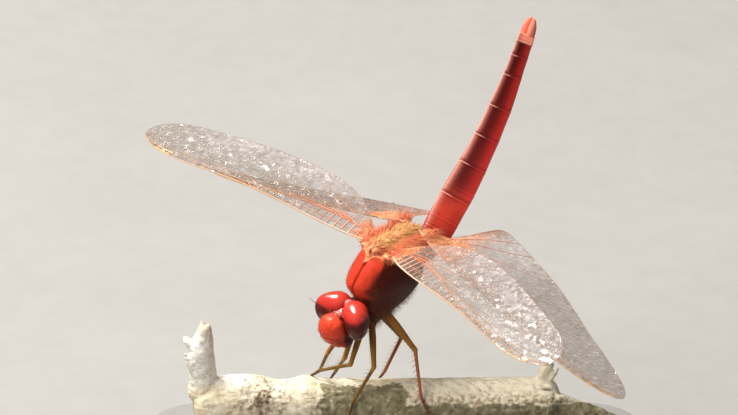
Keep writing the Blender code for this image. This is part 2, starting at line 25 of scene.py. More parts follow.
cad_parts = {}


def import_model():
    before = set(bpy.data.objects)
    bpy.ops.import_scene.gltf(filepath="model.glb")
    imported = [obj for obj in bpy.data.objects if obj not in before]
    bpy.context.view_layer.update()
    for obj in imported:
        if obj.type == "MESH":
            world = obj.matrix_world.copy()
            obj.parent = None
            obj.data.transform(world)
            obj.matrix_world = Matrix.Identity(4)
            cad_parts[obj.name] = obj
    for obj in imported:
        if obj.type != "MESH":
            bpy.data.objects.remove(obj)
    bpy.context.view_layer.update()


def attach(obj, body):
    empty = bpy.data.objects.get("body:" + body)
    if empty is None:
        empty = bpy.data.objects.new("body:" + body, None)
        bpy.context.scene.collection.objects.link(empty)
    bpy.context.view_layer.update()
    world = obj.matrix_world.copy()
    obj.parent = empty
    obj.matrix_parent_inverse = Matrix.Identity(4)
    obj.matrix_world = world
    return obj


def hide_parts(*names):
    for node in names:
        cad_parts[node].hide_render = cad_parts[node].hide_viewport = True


log = logging.getLogger("dragonfly")

MM = 0.001
TURN = 2 * pi
Mesh = bmesh.types.BMesh
Node = bpy.types.Node
Socket = bpy.types.NodeSocket
Colour = tuple[float, float, float]
Row = tuple[float, ...]
Rows = tuple[Row, ...]
Field = Callable[[Vector, Vector], Sequence[float]]


class Side(Enum):
    """Which side of the insect a paired part is on."""

    LEFT = 1
    RIGHT = -1

    @property
    def word(self) -> str:
        """The side's word in the node names."""
        return self.name.lower()


class Pair(Enum):
    """Which pair of wings a wing belongs to."""

    FORE = "fore"
    HIND = "hind"


class Vary(Enum):
    """How much a finish varies in tone over its surface."""

    PLAIN = 0.06
    SOFT = 0.18


# ---- working frames
BRANCH_HEIGHT = 12.0
BRANCH_HEADING = radians(48.6)
INSECT = (Matrix.Translation((-1.48 * MM, -0.16 * MM, 29.17 * MM))
          @ Matrix.Rotation(radians(11.0), 4, "X")
          @ Matrix.Rotation(radians(7.8), 4, "Y") @ Matrix.Scale(MM, 4))
PERCH = (Matrix.Translation((0.0, 0.0, BRANCH_HEIGHT * MM))
         @ Matrix.Rotation(BRANCH_HEADING, 4, "Z") @ Matrix.Scale(MM, 4))


def body(ahead: float, left: float, up: float) -> Vector:
    """A point of the insect's working frame."""
    return Vector((left, -ahead, up))


def between(table: Sequence[Row], x: float) -> Row:
    """Reads a table smoothly.

    Args:
        table: rows whose first column rises.
        x: where to read it.

    Returns:
        The other columns there, by a cubic that never overshoots.
    """
    if x <= table[0][0]:
        return table[0][1:]
    if x >= table[-1][0]:
        return table[-1][1:]
    i = next(k for k in range(len(table) - 1) if x <= table[k + 1][0])
    x1, x2 = table[i][0], table[i + 1][0]
    before, after = table[max(i - 1, 0)], table[min(i + 2, len(table) - 1)]
    t = (x - x1) / (x2 - x1)
    out = []
    for k in range(1, len(table[0])):
        y1, y2 = table[i][k], table[i + 1][k]
        step = y2 - y1
        m1 = (y2 - before[k]) / (x2 - before[0]) * (x2 - x1)
        m2 = (after[k] - y1) / (after[0] - x1) * (x2 - x1)
        most = 3 * abs(step)
        m1 = max(-most, min(most, m1)) if m1 * step > 0 else 0.0
        m2 = max(-most, min(most, m2)) if m2 * step > 0 else 0.0
        out.append((2 * t**3 - 3 * t**2 + 1) * y1 + (t**3 - 2 * t**2 + t) * m1
                   + (3 * t**2 - 2 * t**3) * y2 + (t**3 - t**2) * m2)
    return tuple(out)


def bump(x: float, centre: float, width: float) -> float:
    """A smooth hump of height 1 at centre that fades over width."""
    return exp(-((x - centre) / width) ** 2)


def ease(x: float, low: float, high: float) -> float:
    """0 below low, 1 above high, and smooth between them."""
    t = max(0.0, min(1.0, (x - low) / (high - low)))
    return t * t * (3 - 2 * t)


def blend(a: Sequence[float], b: Sequence[float], t: float) -> Colour:
    """The colour a share t of the way from a to b."""
    t = max(0.0, min(1.0, t))
    return tuple(p + (q - p) * t for p, q in zip(a, b))


def coated(tone: Sequence[float], *coats: tuple[Sequence[float], float]) -> Colour:
    """Lays coats of colour over a tone.

    Args:
        tone: the colour beneath.
        coats: each coat's colour and its share, from the lowest up.

    Returns:
        The colour that shows.
    """
    for colour, share in coats:
        tone = blend(tone, colour, share)
    return tone


def rough(point: Vector, size: float, octaves: int = 3) -> float:
    """Soft noise of about -1 to 1 whose largest lumps have that size."""
    return noise.fractal(point / size, 0.9, 2.1, octaves)


# ---- mesh helpers
def wrapped(place: Callable[[float, float], Vector], around: int, along: int, closed: bool = True) -> Mesh:
    """Wraps a grid over a surface, with its seam and poles closed.

    Args:
        place: the surface's point at u (around) and v (along), both 0 to 1.
        around: faces round the surface.
        along: faces along it.
        closed: whether u = 0 and u = 1 are the same line.

    Returns:
        The mesh, whose map OFBake holds each corner's u and v.
    """
    bm = bmesh.new()
    layer = bm.loops.layers.uv.new("OFBake")
    bmesh.ops.create_grid(bm, x_segments=around, y_segments=along, size=0.5)
    spots = {v: (v.co.x + 0.5, v.co.y + 0.5) for v in bm.verts}
    for face in bm.faces:
        for loop in face.loops:
            loop[layer].uv = spots[loop.vert]
    for vert, (u, v) in spots.items():
        vert.co = place(u % 1.0 if closed else u, v)
    if closed:
        rim = [v for v, uv in spots.items() if min(uv) < 1e-6 or max(uv) > 1 - 1e-6]
        bmesh.ops.remove_doubles(bm, verts=rim, dist=1e-5)
        bmesh.ops.dissolve_degenerate(bm, edges=bm.edges, dist=1e-6)
    return bm


def ball(centre: Vector, radii: Sequence[float], around: int = 24, along: int = 14,
         turn: Matrix | None = None) -> Mesh:
    """An ellipsoid with its poles up and down, then turned.

    Args:
        centre: its middle.
        radii: its half widths along x, y and z.
        around: faces round it.
        along: faces from pole to pole.
        turn: its turn about its middle.

    Returns:
        The closed mesh.
    """
    bm = bmesh.new()
    bmesh.ops.create_uvsphere(bm, u_segments=around, v_segments=along, radius=1.0)
    shape = Matrix.Diagonal((*radii, 1.0))
    if turn is not None:
        shape = turn.to_4x4() @ shape
    bmesh.ops.transform(bm, matrix=Matrix.Translation(centre) @ shape, verts=bm.verts)
    return bm


def limb(points: Sequence[Vector], radii: Sequence[float], sides: int = 12, rounds: int = 3) -> Mesh:
    """A round-ended limb along points.

    Args:
        points: the middle line.
        radii: the radius at each point.
        sides: faces round it.
        rounds: rings in each round end.

    Returns:
        The closed mesh.
    """
    first = (points[0] - points[1]).normalized()
    last = (points[-1] - points[-2]).normalized()
    bends = [0.5 * pi * k / rounds for k in range(rounds)]
    stations = [(points[0] + first * radii[0] * cos(t), radii[0] * sin(t)) for t in bends]
    stations += list(zip(points, radii))
    stations += [(points[-1] + last * radii[-1] * cos(t), radii[-1] * sin(t)) for t in reversed(bends)]
    axes, side = [], None
    for i, _ in enumerate(stations):
        a, b = stations[max(i - 1, 0)][0], stations[min(i + 1, len(stations) - 1)][0]
        axis = (b - a).normalized()
        if side is None:
            side = axis.cross(Vector((0.0, 0.0, 1.0)))
            if side.length < 0.05:
                side = axis.cross(Vector((0.0, 1.0, 0.0)))
        side = (side - axis * side.dot(axis)).normalized()
        axes.append((side.copy(), axis.cross(side)))

    def place(u: float, v: float) -> Vector:
        """The limb's skin at u round it and v along it."""
        i = min(round(v * (len(stations) - 1)), len(stations) - 1)
        (centre, radius), (across, rise), t = stations[i], axes[i], TURN * u
        return centre + across * cos(t) * radius + rise * sin(t) * radius

    return wrapped(place, sides, len(stations) - 1)


def meshed(name: str, bm: Mesh) -> bpy.types.Mesh:
    """Turns a bmesh, which is freed, into mesh data of that name."""
    mesh = bpy.data.meshes.new(name)
    bm.to_mesh(mesh)
    bm.free()
    return mesh


def linked(name: str, data: bpy.types.ID) -> bpy.types.Object:
    """Puts a mesh, light or camera in the scene as an object of that name."""
    obj = bpy.data.objects.new(name, data)
    bpy.context.scene.collection.objects.link(obj)
    return obj


def add_into(bm: Mesh, *others: Mesh) -> None:
    """Moves other meshes into one, which keeps their maps.

    Args:
        bm: the mesh that grows.
        others: the meshes to move, which are freed.
    """
    for other in others:
        mesh = meshed("part", other)
        bm.from_mesh(mesh)
        bpy.data.meshes.remove(mesh)


def fused(parts: Iterable[Mesh], voxel: float, smooth: int = 2) -> Mesh:
    """Melts overlapping closed meshes into one even skin.

    Args:
        parts: the closed meshes.
        voxel: the size of the skin's faces.
        smooth: how often the skin is smoothed.

    Returns:
        The skin.
    """
    bm = bmesh.new()
    add_into(bm, *parts)
    obj = linked("melt", meshed("melt", bm))
    melt = obj.modifiers.new("melt", "REMESH")
    melt.mode, melt.voxel_size = "VOXEL", voxel
    out = bmesh.new()
    out.from_object(obj, bpy.context.evaluated_depsgraph_get())
    bpy.data.meshes.remove(obj.data)
    for _ in range(smooth):
        bmesh.ops.smooth_vert(out, verts=out.verts, factor=0.5, use_axis_x=True, use_axis_y=True,
                              use_axis_z=True)
    bmesh.ops.recalc_face_normals(out, faces=out.faces)
    out.normal_update()
    return out


def near_tree(spots: Sequence[Sequence[float]]) -> kdtree.KDTree:
    """A search tree of the flat net.

    Args:
        spots: points whose first two numbers are x and y.

    Returns:
        The tree, which finds the nearest point.
    """
    tree = kdtree.KDTree(len(spots))
    for i, spot in enumerate(spots):
        tree.insert((spot[0], spot[1], 0.0), i)
    tree.balance()
    return tree


def pushed(bm: Mesh, amount: Callable[[Vector, Vector], float]) -> None:
    """Moves each vertex along its normal.

    Args:
        bm: the mesh.
        amount: how far, from the vertex's place and normal.
    """
    bm.normal_update()
    moves = [(v, v.normal.copy() * amount(v.co, v.normal)) for v in bm.verts]
    for vert, move in moves:
        vert.co += move
    bm.normal_update()


def tinted(bm: Mesh, colour: Field | Sequence[float]) -> Mesh:
    """Tints a mesh.

    Args:
        bm: the mesh.
        colour: one colour, or a colour from each vertex's place and normal.

    Returns:
        The same mesh.
    """
    layer = bm.verts.layers.float_color.new("tint")
    bm.normal_update()
    for vert in bm.verts:
        vert[layer] = (*(colour(vert.co, vert.normal) if callable(colour) else colour), 1.0)
    return bm


def finished(name: str, bm: Mesh, finish: Finish, frame: Matrix = INSECT,
             angle: float | None = None) -> bpy.types.Object:
    """Turns a mesh of a working frame into a named object of the world.

    Args:
        name: the piece's name.
        bm: its mesh, which is freed.
        finish: its finish.
        frame: the working frame that it was made in.
        angle: edges sharper than this stay sharp, in degrees.

    Returns:
        The object, at the origin.
    """
    bmesh.ops.transform(bm, matrix=frame, verts=bm.verts)
    bm.normal_update()
    if angle is not None:
        for edge in bm.edges:
            if len(edge.link_faces) == 2:
                edge.smooth = edge.calc_face_angle(0.0) < radians(angle)
    for face in bm.faces:
        face.smooth = True
    mesh = meshed(name, bm)
    mesh.materials.append(finish.material())
    return linked(name, mesh)


@dataclass(frozen=True)
class Hair:
    """One hair of a piece of the insect.

    Attributes:
        root, lean: where it stands and the way it points.
        length, thick: its length and its width at the root, in mm.
        spot: its root's place on the skin's own map.
        tone: its colour.
    """

    root: Vector
    lean: Vector
    length: float
    thick: float
    spot: tuple[float, float]
    tone: Colour


def combed(name: str, coat: Sequence[Hair], bend: float = 0.25) -> bpy.types.Object:
    """Joins the tapered hairs of a coat into one mesh from arrays.

    Args:
        name: the piece's name.
        coat: the hairs.
        bend: how far a hair's tip hangs back, as a share of its length.

    Returns:
        The object.
    """
    rings = ((0.0, 1.0), (0.5, 0.75), (1.0, 0.08))
    patch = 0.0015
    count, per = len(coat), 3 * len(rings)
    verts = np.zeros((count, per, 3))
    tint = np.ones((count, per, 4))
    uvs = np.zeros((count, per, 2))
    hang = Vector((0.0, 0.35, -1.0)).normalized() * bend
    for n, hair in enumerate(coat):
        axis = hair.lean.normalized()
        side = axis.orthogonal().normalized()
        rise = axis.cross(side)
        for r, (t, width) in enumerate(rings):
            centre = hair.root + axis * hair.length * t + hang * hair.length * t * t
            for k in range(3):
                a = TURN * k / 3
                off = (side * cos(a) + rise * sin(a))
                verts[n, 3 * r + k] = centre + off * 0.5 * hair.thick * width
                uvs[n, 3 * r + k] = (hair.spot[0] + patch * cos(a), hair.spot[1] + patch * (t - 0.5))
        tint[n, :, :3] = hair.tone
    quads = [(3 * r + k, 3 * r + (k + 1) % 3, 3 * r + 3 + (k + 1) % 3, 3 * r + 3 + k)
             for r in range(len(rings) - 1) for k in range(3)]
    tips = [(0, 2, 1), (per - 3, per - 2, per - 1)]
    faces = [tuple(i + n * per for i in f) for n in range(count) for f in quads + tips]
    flat = verts.reshape(-1, 3) @ np.array(INSECT.to_3x3()).T + np.array(INSECT.translation)
    mesh = bpy.data.meshes.new(name)
    mesh.from_pydata(flat.tolist(), [], faces)
    layer = mesh.attributes.new("tint", "FLOAT_COLOR", "POINT")
    layer.data.foreach_set("color", tint.reshape(-1))
    chart = mesh.uv_layers.new(name="OFBake")
    corners = np.empty(len(mesh.loops), dtype=np.int64)
    mesh.loops.foreach_get("vertex_index", corners)
    chart.data.foreach_set("uv", uvs.reshape(-1, 2)[corners].reshape(-1))
    mesh.materials.append(HAIR.material())
    mesh.polygons.foreach_set("use_smooth", [True] * len(mesh.polygons))
    return linked(name, mesh)


# ---- node groups
class Nodes:
    """A short hand for making and joining the nodes of a tree."""

    def __init__(self, tree: bpy.types.NodeTree) -> None:
        """Takes the tree that the nodes go in."""
        self.tree = tree

    def feed(self, socket: Socket, value: object) -> None:
        """Links an input to a socket, or sets it.

        Args:
            socket: the input.
            value: the socket that feeds it, or its number or colour.
        """
        if isinstance(value, Socket):
            self.tree.links.new(value, socket)
        else:
            socket.default_value = (*value[:3], 1.0) if socket.type == "RGBA" else value

    def fill(self, node: Node, **values: object) -> None:
        """Feeds a node's inputs by their names, with _ for each space."""
        for key, value in values.items():
            self.feed(node.inputs[key.replace("_", " ")], value)

    def add(self, kind: str, **values: object) -> Node:
        """Adds a node.

        Args:
            kind: the node's type.
            values: its properties, or its inputs where no property has that name.

        Returns:
            The node.
        """
        node = self.tree.nodes.new(kind)
        for key, value in values.items():
            if hasattr(node, key):
                setattr(node, key, value)
            else:
                self.fill(node, **{key: value})
        return node

    def texture(self, kind: str, **values: object) -> Node:
        """A texture on the piece's own coordinates, with its values."""
        place = self.add("ShaderNodeTexCoord").outputs["Object"]
        return self.add(f"ShaderNodeTex{kind}", Vector=place, **values)

    def span(self, source: Socket, **ends: float) -> Socket:
        """Maps a number from one range to another, each 0 to 1 unless told."""
        return self.add("ShaderNodeMapRange", Value=source, **ends).outputs["Result"]

    def maths(self, operation: str, a: object, b: object) -> Socket:
        """Reckons with two sockets or numbers.

        Args:
            operation: the Math node's operation.
            a: the first socket or number.
            b: the second socket or number.

        Returns:
            The result's socket.
        """
        node = self.add("ShaderNodeMath", operation=operation)
        self.feed(node.inputs[0], a)
        self.feed(node.inputs[1], b)
        return node.outputs[0]

    def ramp(self, source: Socket, *stops: tuple[float, Colour]) -> Socket:
        """A colour ramp.

        Args:
            source: what it reads.
            stops: places and colours.

        Returns:
            The colour's socket.
        """
        node = self.add("ShaderNodeValToRGB", Fac=source)
        points = node.color_ramp.elements
        while len(points) < len(stops):
            points.new(0.5)
        for point, (place, colour) in zip(points, stops):
            point.position = place
            point.color = (*colour, 1.0)
        return node.outputs["Color"]

    def mix(self, factor: object, a: object, b: object, mode: str = "MIX") -> Socket:
        """Mixes two colours, each a socket or a colour.

        Args:
            factor: the share of b, a socket or a number.
            a: the first colour.
            b: the second colour.
            mode: the blend type.

        Returns:
            The mixed colour's socket.
        """
        node = self.add("ShaderNodeMix", data_type="RGBA", blend_type=mode)
        for index, value in zip((0, 6, 7), (factor, a, b)):
            self.feed(node.inputs[index], value)
        return node.outputs[2]

    def relief(self, shader: Node, height: Socket, depth: float, **values: object) -> None:
        """Raises a shader's surface by a height that is depth mm deep."""
        raised = self.add("ShaderNodeBump", Distance=depth * MM, Height=height, **values)
        self.fill(shader, Normal=raised.outputs["Normal"])


def group(name: str, inputs: dict[str, float], output: str,
          drawn: Callable[[Nodes, Node], Socket]) -> bpy.types.NodeTree:
    """A shader node group, drawn the first time that it is asked for.

    Args:
        name: the group's name.
        inputs: its number inputs and their first values.
        output: the name of its number output.
        drawn: makes its nodes round the input node, and gives the output.

    Returns:
        The group.
    """
    tree = bpy.data.node_groups.get(name)
    if tree is None:
        tree = bpy.data.node_groups.new(name, "ShaderNodeTree")
        for key, value in inputs.items():
            socket = tree.interface.new_socket(key, in_out="INPUT", socket_type="NodeSocketFloat")
            socket.default_value = value
        tree.interface.new_socket(output, in_out="OUTPUT", socket_type="NodeSocketFloat")
        nodes = Nodes(tree)
        result = drawn(nodes, nodes.add("NodeGroupInput"))
        nodes.fill(nodes.add("NodeGroupOutput"), **{output: result})
    return tree


def mottle(nodes: Nodes, size: float, fine: float) -> Socket:
    """Soft and fine patches of tone, as a mask of 0 to 1.

    Args:
        nodes: the maker of the material's nodes.
        size: the size of the patches, in mm.
        fine: the share of the fine patches.

    Returns:
        The mask's socket.
    """
    def drawn(inside: Nodes, start: Node) -> Socket:
        """Two noises, mixed and stretched."""
        scale = inside.maths("DIVIDE", 1.0, start.outputs["Size"])
        broad, small = (
            inside.texture("Noise", Detail=detail, Roughness=harsh,
                           Scale=inside.maths("MULTIPLY", scale, finer))
            for detail, harsh, finer in ((4.0, 0.6, 1.0), (3.0, 0.7, 6.0)))
        both = inside.add("ShaderNodeMix")
        for index, value in zip((0, 2, 3), (start.outputs["Fine"], broad.outputs[0], small.outputs[0])):
            inside.feed(both.inputs[index], value)
        return inside.span(both.outputs[0], From_Min=0.3, From_Max=0.7)

    tree = group("mottle", {"Size": 0.001, "Fine": 0.3}, "Mask", drawn)
    return nodes.add("ShaderNodeGroup", node_tree=tree, Size=size * MM, Fine=fine).outputs["Mask"]


def grain(nodes: Nodes, size: float) -> Socket:
    """The fine pebbled surface of a shell, as a height.

    Args:
        nodes: the maker of the material's nodes.
        size: the size of the pebbles, in mm.

    Returns:
        The height's socket.
    """
    def drawn(inside: Nodes, start: Node) -> Socket:
        """Rounded cells on slow waves."""
        scale = inside.maths("DIVIDE", 1.0, start.outputs["Size"])
        cells = inside.texture("Voronoi", feature="SMOOTH_F1", Scale=inside.maths("MULTIPLY", scale, 1.0))
        waves = inside.texture("Noise", Detail=3.0, Scale=inside.maths("MULTIPLY", scale, 0.35))
        low = inside.maths("MULTIPLY", cells.outputs["Distance"], 0.5)
        return inside.maths("ADD", low, waves.outputs["Fac"])

    tree = group("grain", {"Size": 0.0001}, "Height", drawn)
    return nodes.add("ShaderNodeGroup", node_tree=tree, Size=size * MM).outputs["Height"]


def toned(nodes: Nodes, shader: Node, patch: float, fine: float, low: float,
          high: float) -> tuple[Node, Socket]:
    """Colours a shader by the piece's own tint under soft patches of tone.

    Args:
        nodes: the maker of the material's nodes.
        shader: the shader.
        patch, fine: the size of the patches in mm, and the share of the fine ones.
        low, high: the darkest and the palest tone.

    Returns:
        The tint's node and the patches' mask.
    """
    tint = nodes.add("ShaderNodeAttribute", attribute_name="tint")
    mask = mottle(nodes, patch, fine)
    scaled = nodes.add("ShaderNodeVectorMath", operation="SCALE",
                       Scale=nodes.span(mask, To_Min=low, To_Max=high))
    nodes.feed(scaled.inputs[0], tint.outputs["Color"])
    nodes.fill(shader, Base_Color=scaled.outputs["Vector"])
    return tint, mask


# ---- finishes
@dataclass(frozen=True)
class Finish:
    """A finish of the model.

    Attributes:
        name: the material's name.
    """

    name: str
    made: ClassVar[dict[str, bpy.types.Material]] = {}

    def material(self) -> bpy.types.Material:
        """The finish's material, made when a piece first asks for it."""
        if self.name not in self.made:
            material = self.made[self.name] = bpy.data.materials.new(self.name)
            material.use_nodes = True
            self.dress(Nodes(material.node_tree), material.node_tree.nodes["Principled BSDF"])
        return self.made[self.name]

    def dress(self, nodes: Nodes, shader: Node) -> None:
        """Fills the shader with the finish's own nodes.

        Args:
            nodes: the maker of the material's nodes.
            shader: its shader.
        """
        raise NotImplementedError


@dataclass(frozen=True)
class Cuticle(Finish):
    """The satin shell of the insect, coloured by the piece's own tint.

    Attributes:
        vary, patch: how much its tone varies, and the size of its patches in mm.
        roughness, gloss: of the shell, and of the wax over it.
        relief, grain: the height and the size of its grain, in mm.
    """

    vary: Vary
    patch: float
    roughness: float
    gloss: float
    relief: float
    grain: float

    def dress(self, nodes: Nodes, shader: Node) -> None:
        """Satin under a thin wax."""
        vary = self.vary.value
        mask = toned(nodes, shader, self.patch, 0.35, 1.0 - vary, 1.0 + 0.5 * vary)[1]
        dull = nodes.span(mask, To_Min=self.roughness + 0.1, To_Max=self.roughness - 0.06)
        nodes.fill(shader, Roughness=dull, Coat_Weight=self.gloss, Coat_Roughness=0.2,
                   Specular_IOR_Level=0.18)
        nodes.relief(shader, grain(nodes, self.grain), self.relief)


@dataclass(frozen=True)
class FacetedEye(Finish):
    """The wet-looking compound eye with its thousands of facets.

    Attributes:
        facet: the width of a facet, in mm.
    """

    facet: float = 0.055

    def dress(self, nodes: Nodes, shader: Node) -> None:
        """Facets under a gloss that leaves the dark parts dull."""
        tint = toned(nodes, shader, 0.9, 0.2, 0.8, 1.12)[0]
        cells = nodes.texture("Voronoi", Scale=1.0 / (self.facet * MM), Randomness=0.25)
        nodes.relief(shader, cells.outputs["Distance"], 0.004, Strength=0.6, invert=True)
        parts = nodes.add("ShaderNodeSeparateColor", Color=tint.outputs["Color"])
        bright = nodes.span(parts.outputs["Red"], From_Min=0.08, From_Max=0.5)
        nodes.fill(shader, Roughness=0.26, Specular_IOR_Level=0.45, Coat_Weight=bright, Coat_Roughness=0.1)


@dataclass(frozen=True)
class Membrane(Finish):
    """The clear skin of a wing; its tint gives its colour and alpha.

    Attributes:
        roughness: of its shine.
        crease: the size of its fine creases, in mm.
    """

    roughness: float = 0.16
    crease: float = 0.16

    def dress(self, nodes: Nodes, shader: Node) -> None:
        """A glassy skin with fine creases."""
        tint = toned(nodes, shader, 2.2, 0.4, 0.75, 1.25)[0]
        nodes.fill(shader, Alpha=tint.outputs["Alpha"], Roughness=self.roughness, Specular_IOR_Level=1.0,
                   Coat_Weight=1.0, Coat_Roughness=0.1, Coat_IOR=2.0)
        creases = nodes.texture("Noise", Detail=2.0, Scale=1.0 / (self.crease * MM))
        nodes.relief(shader, creases.outputs["Fac"], 0.06)


@dataclass(frozen=True)
class Bark(Finish):
    """Bleached dead wood with grey-brown bark, lichen and cracks.

    The piece's tint gives the broad colour; grain runs along the branch.
    """

    def dress(self, nodes: Nodes, shader: Node) -> None:
        """Fibres, specks and crust along the branch."""
        tint = nodes.add("ShaderNodeAttribute", attribute_name="tint").outputs["Color"]
        place = nodes.add("ShaderNodeTexCoord").outputs["Object"]
        along = nodes.add("ShaderNodeMapping", vector_type="POINT", Rotation=(0.0, 0.0, -BRANCH_HEADING),
                          Scale=(0.35, 1.0, 1.0), Vector=place).outputs["Vector"]
        fibre = nodes.add("ShaderNodeTexNoise", Scale=1500.0, Detail=8.0, Roughness=0.65,
                          Vector=along).outputs["Fac"]
        speck = nodes.add("ShaderNodeTexNoise", Scale=2600.0, Detail=4.0, Vector=along).outputs["Fac"]
        crust = nodes.add("ShaderNodeTexVoronoi", Scale=1300.0, feature="SMOOTH_F1",
                          Vector=along).outputs["Distance"]
        shade = nodes.ramp(fibre, (0.3, (0.58, 0.5, 0.38)), (0.45, (0.93, 0.91, 0.87)),
                           (0.62, (1.1, 1.09, 1.06)))
        base = nodes.mix(1.0, tint, shade, "MULTIPLY")
        spots = nodes.ramp(speck, (0.3, (0.3, 0.22, 0.13)), (0.4, (1.0, 1.0, 1.0)))
        spotted = nodes.mix(1.0, base, spots, "MULTIPLY")
        nodes.fill(shader, Base_Color=nodes.mix(0.55, base, spotted), Roughness=0.86,
                   Specular_IOR_Level=0.25)
        nodes.relief(shader, nodes.maths("ADD", fibre, nodes.maths("MULTIPLY", crust, 0.5)), 0.22)


@dataclass(frozen=True)
class Paint(Finish):
    """Satin paint with a slight orange peel, or brushed metal.

    Attributes:
        colour, roughness: of the paint.
        metallic: 1 for bare metal.
        peel, relief: the size and the height of its texture, in mm.
    """

    colour: Colour
    roughness: float
    metallic: float = 0.0
    peel: float = 0.5
    relief: float = 0.01

    def dress(self, nodes: Nodes, shader: Node) -> None:
        """Paint that is a little darker and duller in patches."""
        mask = mottle(nodes, 6 * self.peel, 0.5)
        dark = tuple(c * 0.9 for c in self.colour)
        dull = nodes.span(mask, To_Min=self.roughness - 0.05, To_Max=self.roughness + 0.07)
        nodes.fill(shader, Base_Color=nodes.mix(mask, dark, self.colour), Roughness=dull,
                   Metallic=self.metallic)
        nodes.relief(shader, grain(nodes, self.peel), self.relief)


HEAD_SHELL = Cuticle("head_shell", Vary.SOFT, 0.6, 0.34, 0.35, 0.008, 0.09)
BODY_SHELL = Cuticle("body_shell", Vary.SOFT, 0.9, 0.42, 0.18, 0.014, 0.12)
LEG_SHELL = Cuticle("leg_shell", Vary.SOFT, 0.5, 0.38, 0.25, 0.008, 0.08)
VEIN_SHELL = Cuticle("vein_shell", Vary.SOFT, 1.4, 0.4, 0.3, 0.004, 0.05)
HAIR = Cuticle("hair", Vary.PLAIN, 0.8, 0.55, 0.0, 0.001, 0.05)
EYE_SHELL = FacetedEye("compound_eye")
WING_SKIN = Membrane("wing_skin")
WOOD = Bark("weathered_bark")
GREY_PAINT = Paint("grey_paint", (0.34, 0.34, 0.33), 0.48)
STEEL = Paint("bright_steel", (0.6, 0.6, 0.61), 0.28, 1.0, 0.3, 0.003)
FLOOR = Paint("pale_floor", (0.4, 0.396, 0.385), 0.75, peel=4.0)


# ---- palette
CRIMSON, MAROON = (0.34, 0.01, 0.01), (0.12, 0.008, 0.008)
ORANGE, UMBER, SOOT = (0.72, 0.13, 0.03), (0.09, 0.035, 0.018), (0.022, 0.014, 0.012)
FACE, CROWN, BROW_SHADE, LIP = (0.92, 0.078, 0.032), (0.9, 0.17, 0.17), (0.22, 0.014, 0.012), (0.1, 0.015, 0.01)
EYE_TOP, EYE_RED, EYE_DARK_AND_SHADE = (0.7, 0.05, 0.03), (0.6, 0.02, 0.014), (0.1, 0.012, 0.008)
EYE_BELLY, EYE_SEAM, OCELLUS = (0.2, 0.15, 0.05), (0.25, 0.012, 0.01), (0.55, 0.2, 0.1)
COLLAR, FLANK_SHADE, REAR_FLANK_SHADE = (0.72, 0.05, 0.02), (0.105, 0.01, 0.005), (0.08, 0.008, 0.005)
BREAST, GOLD_SHELL, SALMON_SHELL = (0.13, 0.03, 0.012), (0.94, 0.47, 0.21), (0.88, 0.26, 0.13)
KEEL_SHADE, RIDGE, PIT = (0.3, 0.014, 0.01), (0.85, 0.32, 0.14), (0.25, 0.03, 0.015)
GOLD_HAIR, SALMON_HAIR, RUST_HAIR = (1.0, 0.64, 0.28), (0.93, 0.27, 0.14), (0.3, 0.05, 0.02)
FLANK_HAIR_SHADE, TAN_HAIR, FRONT_HAIR = (0.08, 0.014, 0.007), (0.42, 0.25, 0.12), (0.62, 0.14, 0.06)
TAIL_RED, TAIL_TIP, TAIL_PLATE = (0.4, 0.018, 0.014), (0.95, 0.27, 0.18), (0.6, 0.1, 0.05)
KEEL_BAND_SHADE, TAIL_BASE, FOLD = (0.1, 0.004, 0.003), (0.58, 0.048, 0.027), (0.4, 0.05, 0.03)
BELLY, KEEL_HIGHLIGHT, JOINT, LAST_JOINT = ((0.22, 0.02, 0.012), (0.92, 0.32, 0.25), (0.9, 0.4, 0.3),
                                       (0.85, 0.42, 0.3))
CLEAR_SKIN, AMBER_SKIN, SHEEN_SKIN = (0.27, 0.235, 0.21), (0.86, 0.36, 0.18), (0.8, 0.78, 0.83)
RUST_VEIN, RED_VEIN, BROWN_VEIN = (0.58, 0.26, 0.13), (0.74, 0.19, 0.07), (0.24, 0.15, 0.1)
TAN_VEIN, PALE_EDGE, TAN_EDGE = (0.6, 0.27, 0.12), (0.85, 0.58, 0.42), (0.62, 0.34, 0.2)
EDGE_TIP, PALE_RUNG, NODUS = (0.72, 0.42, 0.2), (0.85, 0.5, 0.38), (0.55, 0.16, 0.06)
GOLD_RUFF, SALMON_RUFF, WING_SPOT = (1.0, 0.62, 0.32), (0.92, 0.32, 0.19), (0.72, 0.5, 0.26)
HIP_BROWN, THIGH_BROWN, SHIN_BROWN = (0.42, 0.12, 0.03), (0.36, 0.155, 0.024), (0.23, 0.12, 0.018)
HIND_SHIN, KNEE_TAN, SPINE_TAN = (0.5, 0.14, 0.055), (0.6, 0.26, 0.06), (0.8, 0.66, 0.34)
PALE_WOOD, TAN_WOOD, BLEACHED_AND_LIT_TOP = (0.92, 0.86, 0.72), (0.82, 0.71, 0.5), (1.0, 0.98, 0.93)
RIGHT_LIT_WOOD, RUSTY_WOOD, TORN_WOOD = (1.0, 0.93, 0.75), (0.36, 0.23, 0.09), (0.62, 0.42, 0.24)
BARK_GREEN, BARK_DARK, BARK_RED = (0.37, 0.33, 0.21), (0.22, 0.2, 0.12), (0.42, 0.28, 0.2)
WOOD_PIT, LICHEN, CRACK = (0.09, 0.055, 0.03), (0.55, 0.52, 0.4), (0.05, 0.035, 0.02)


class Sculpture:
    """What every sub-assembly does with its finished pieces."""

    def keep(self, piece: bpy.types.Object, slot: str, *nodes: str) -> None:
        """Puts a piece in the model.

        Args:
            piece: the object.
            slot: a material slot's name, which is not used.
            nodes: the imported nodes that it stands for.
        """
        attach(piece, "root")
        if nodes:
            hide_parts(*nodes)
        log.info("%s: %d faces", piece.name, len(piece.data.polygons))


def tilted(degrees: float) -> Matrix:
    """A turn that leans a part's top to the rear."""
    return Matrix.Rotation(radians(-degrees), 3, "X")


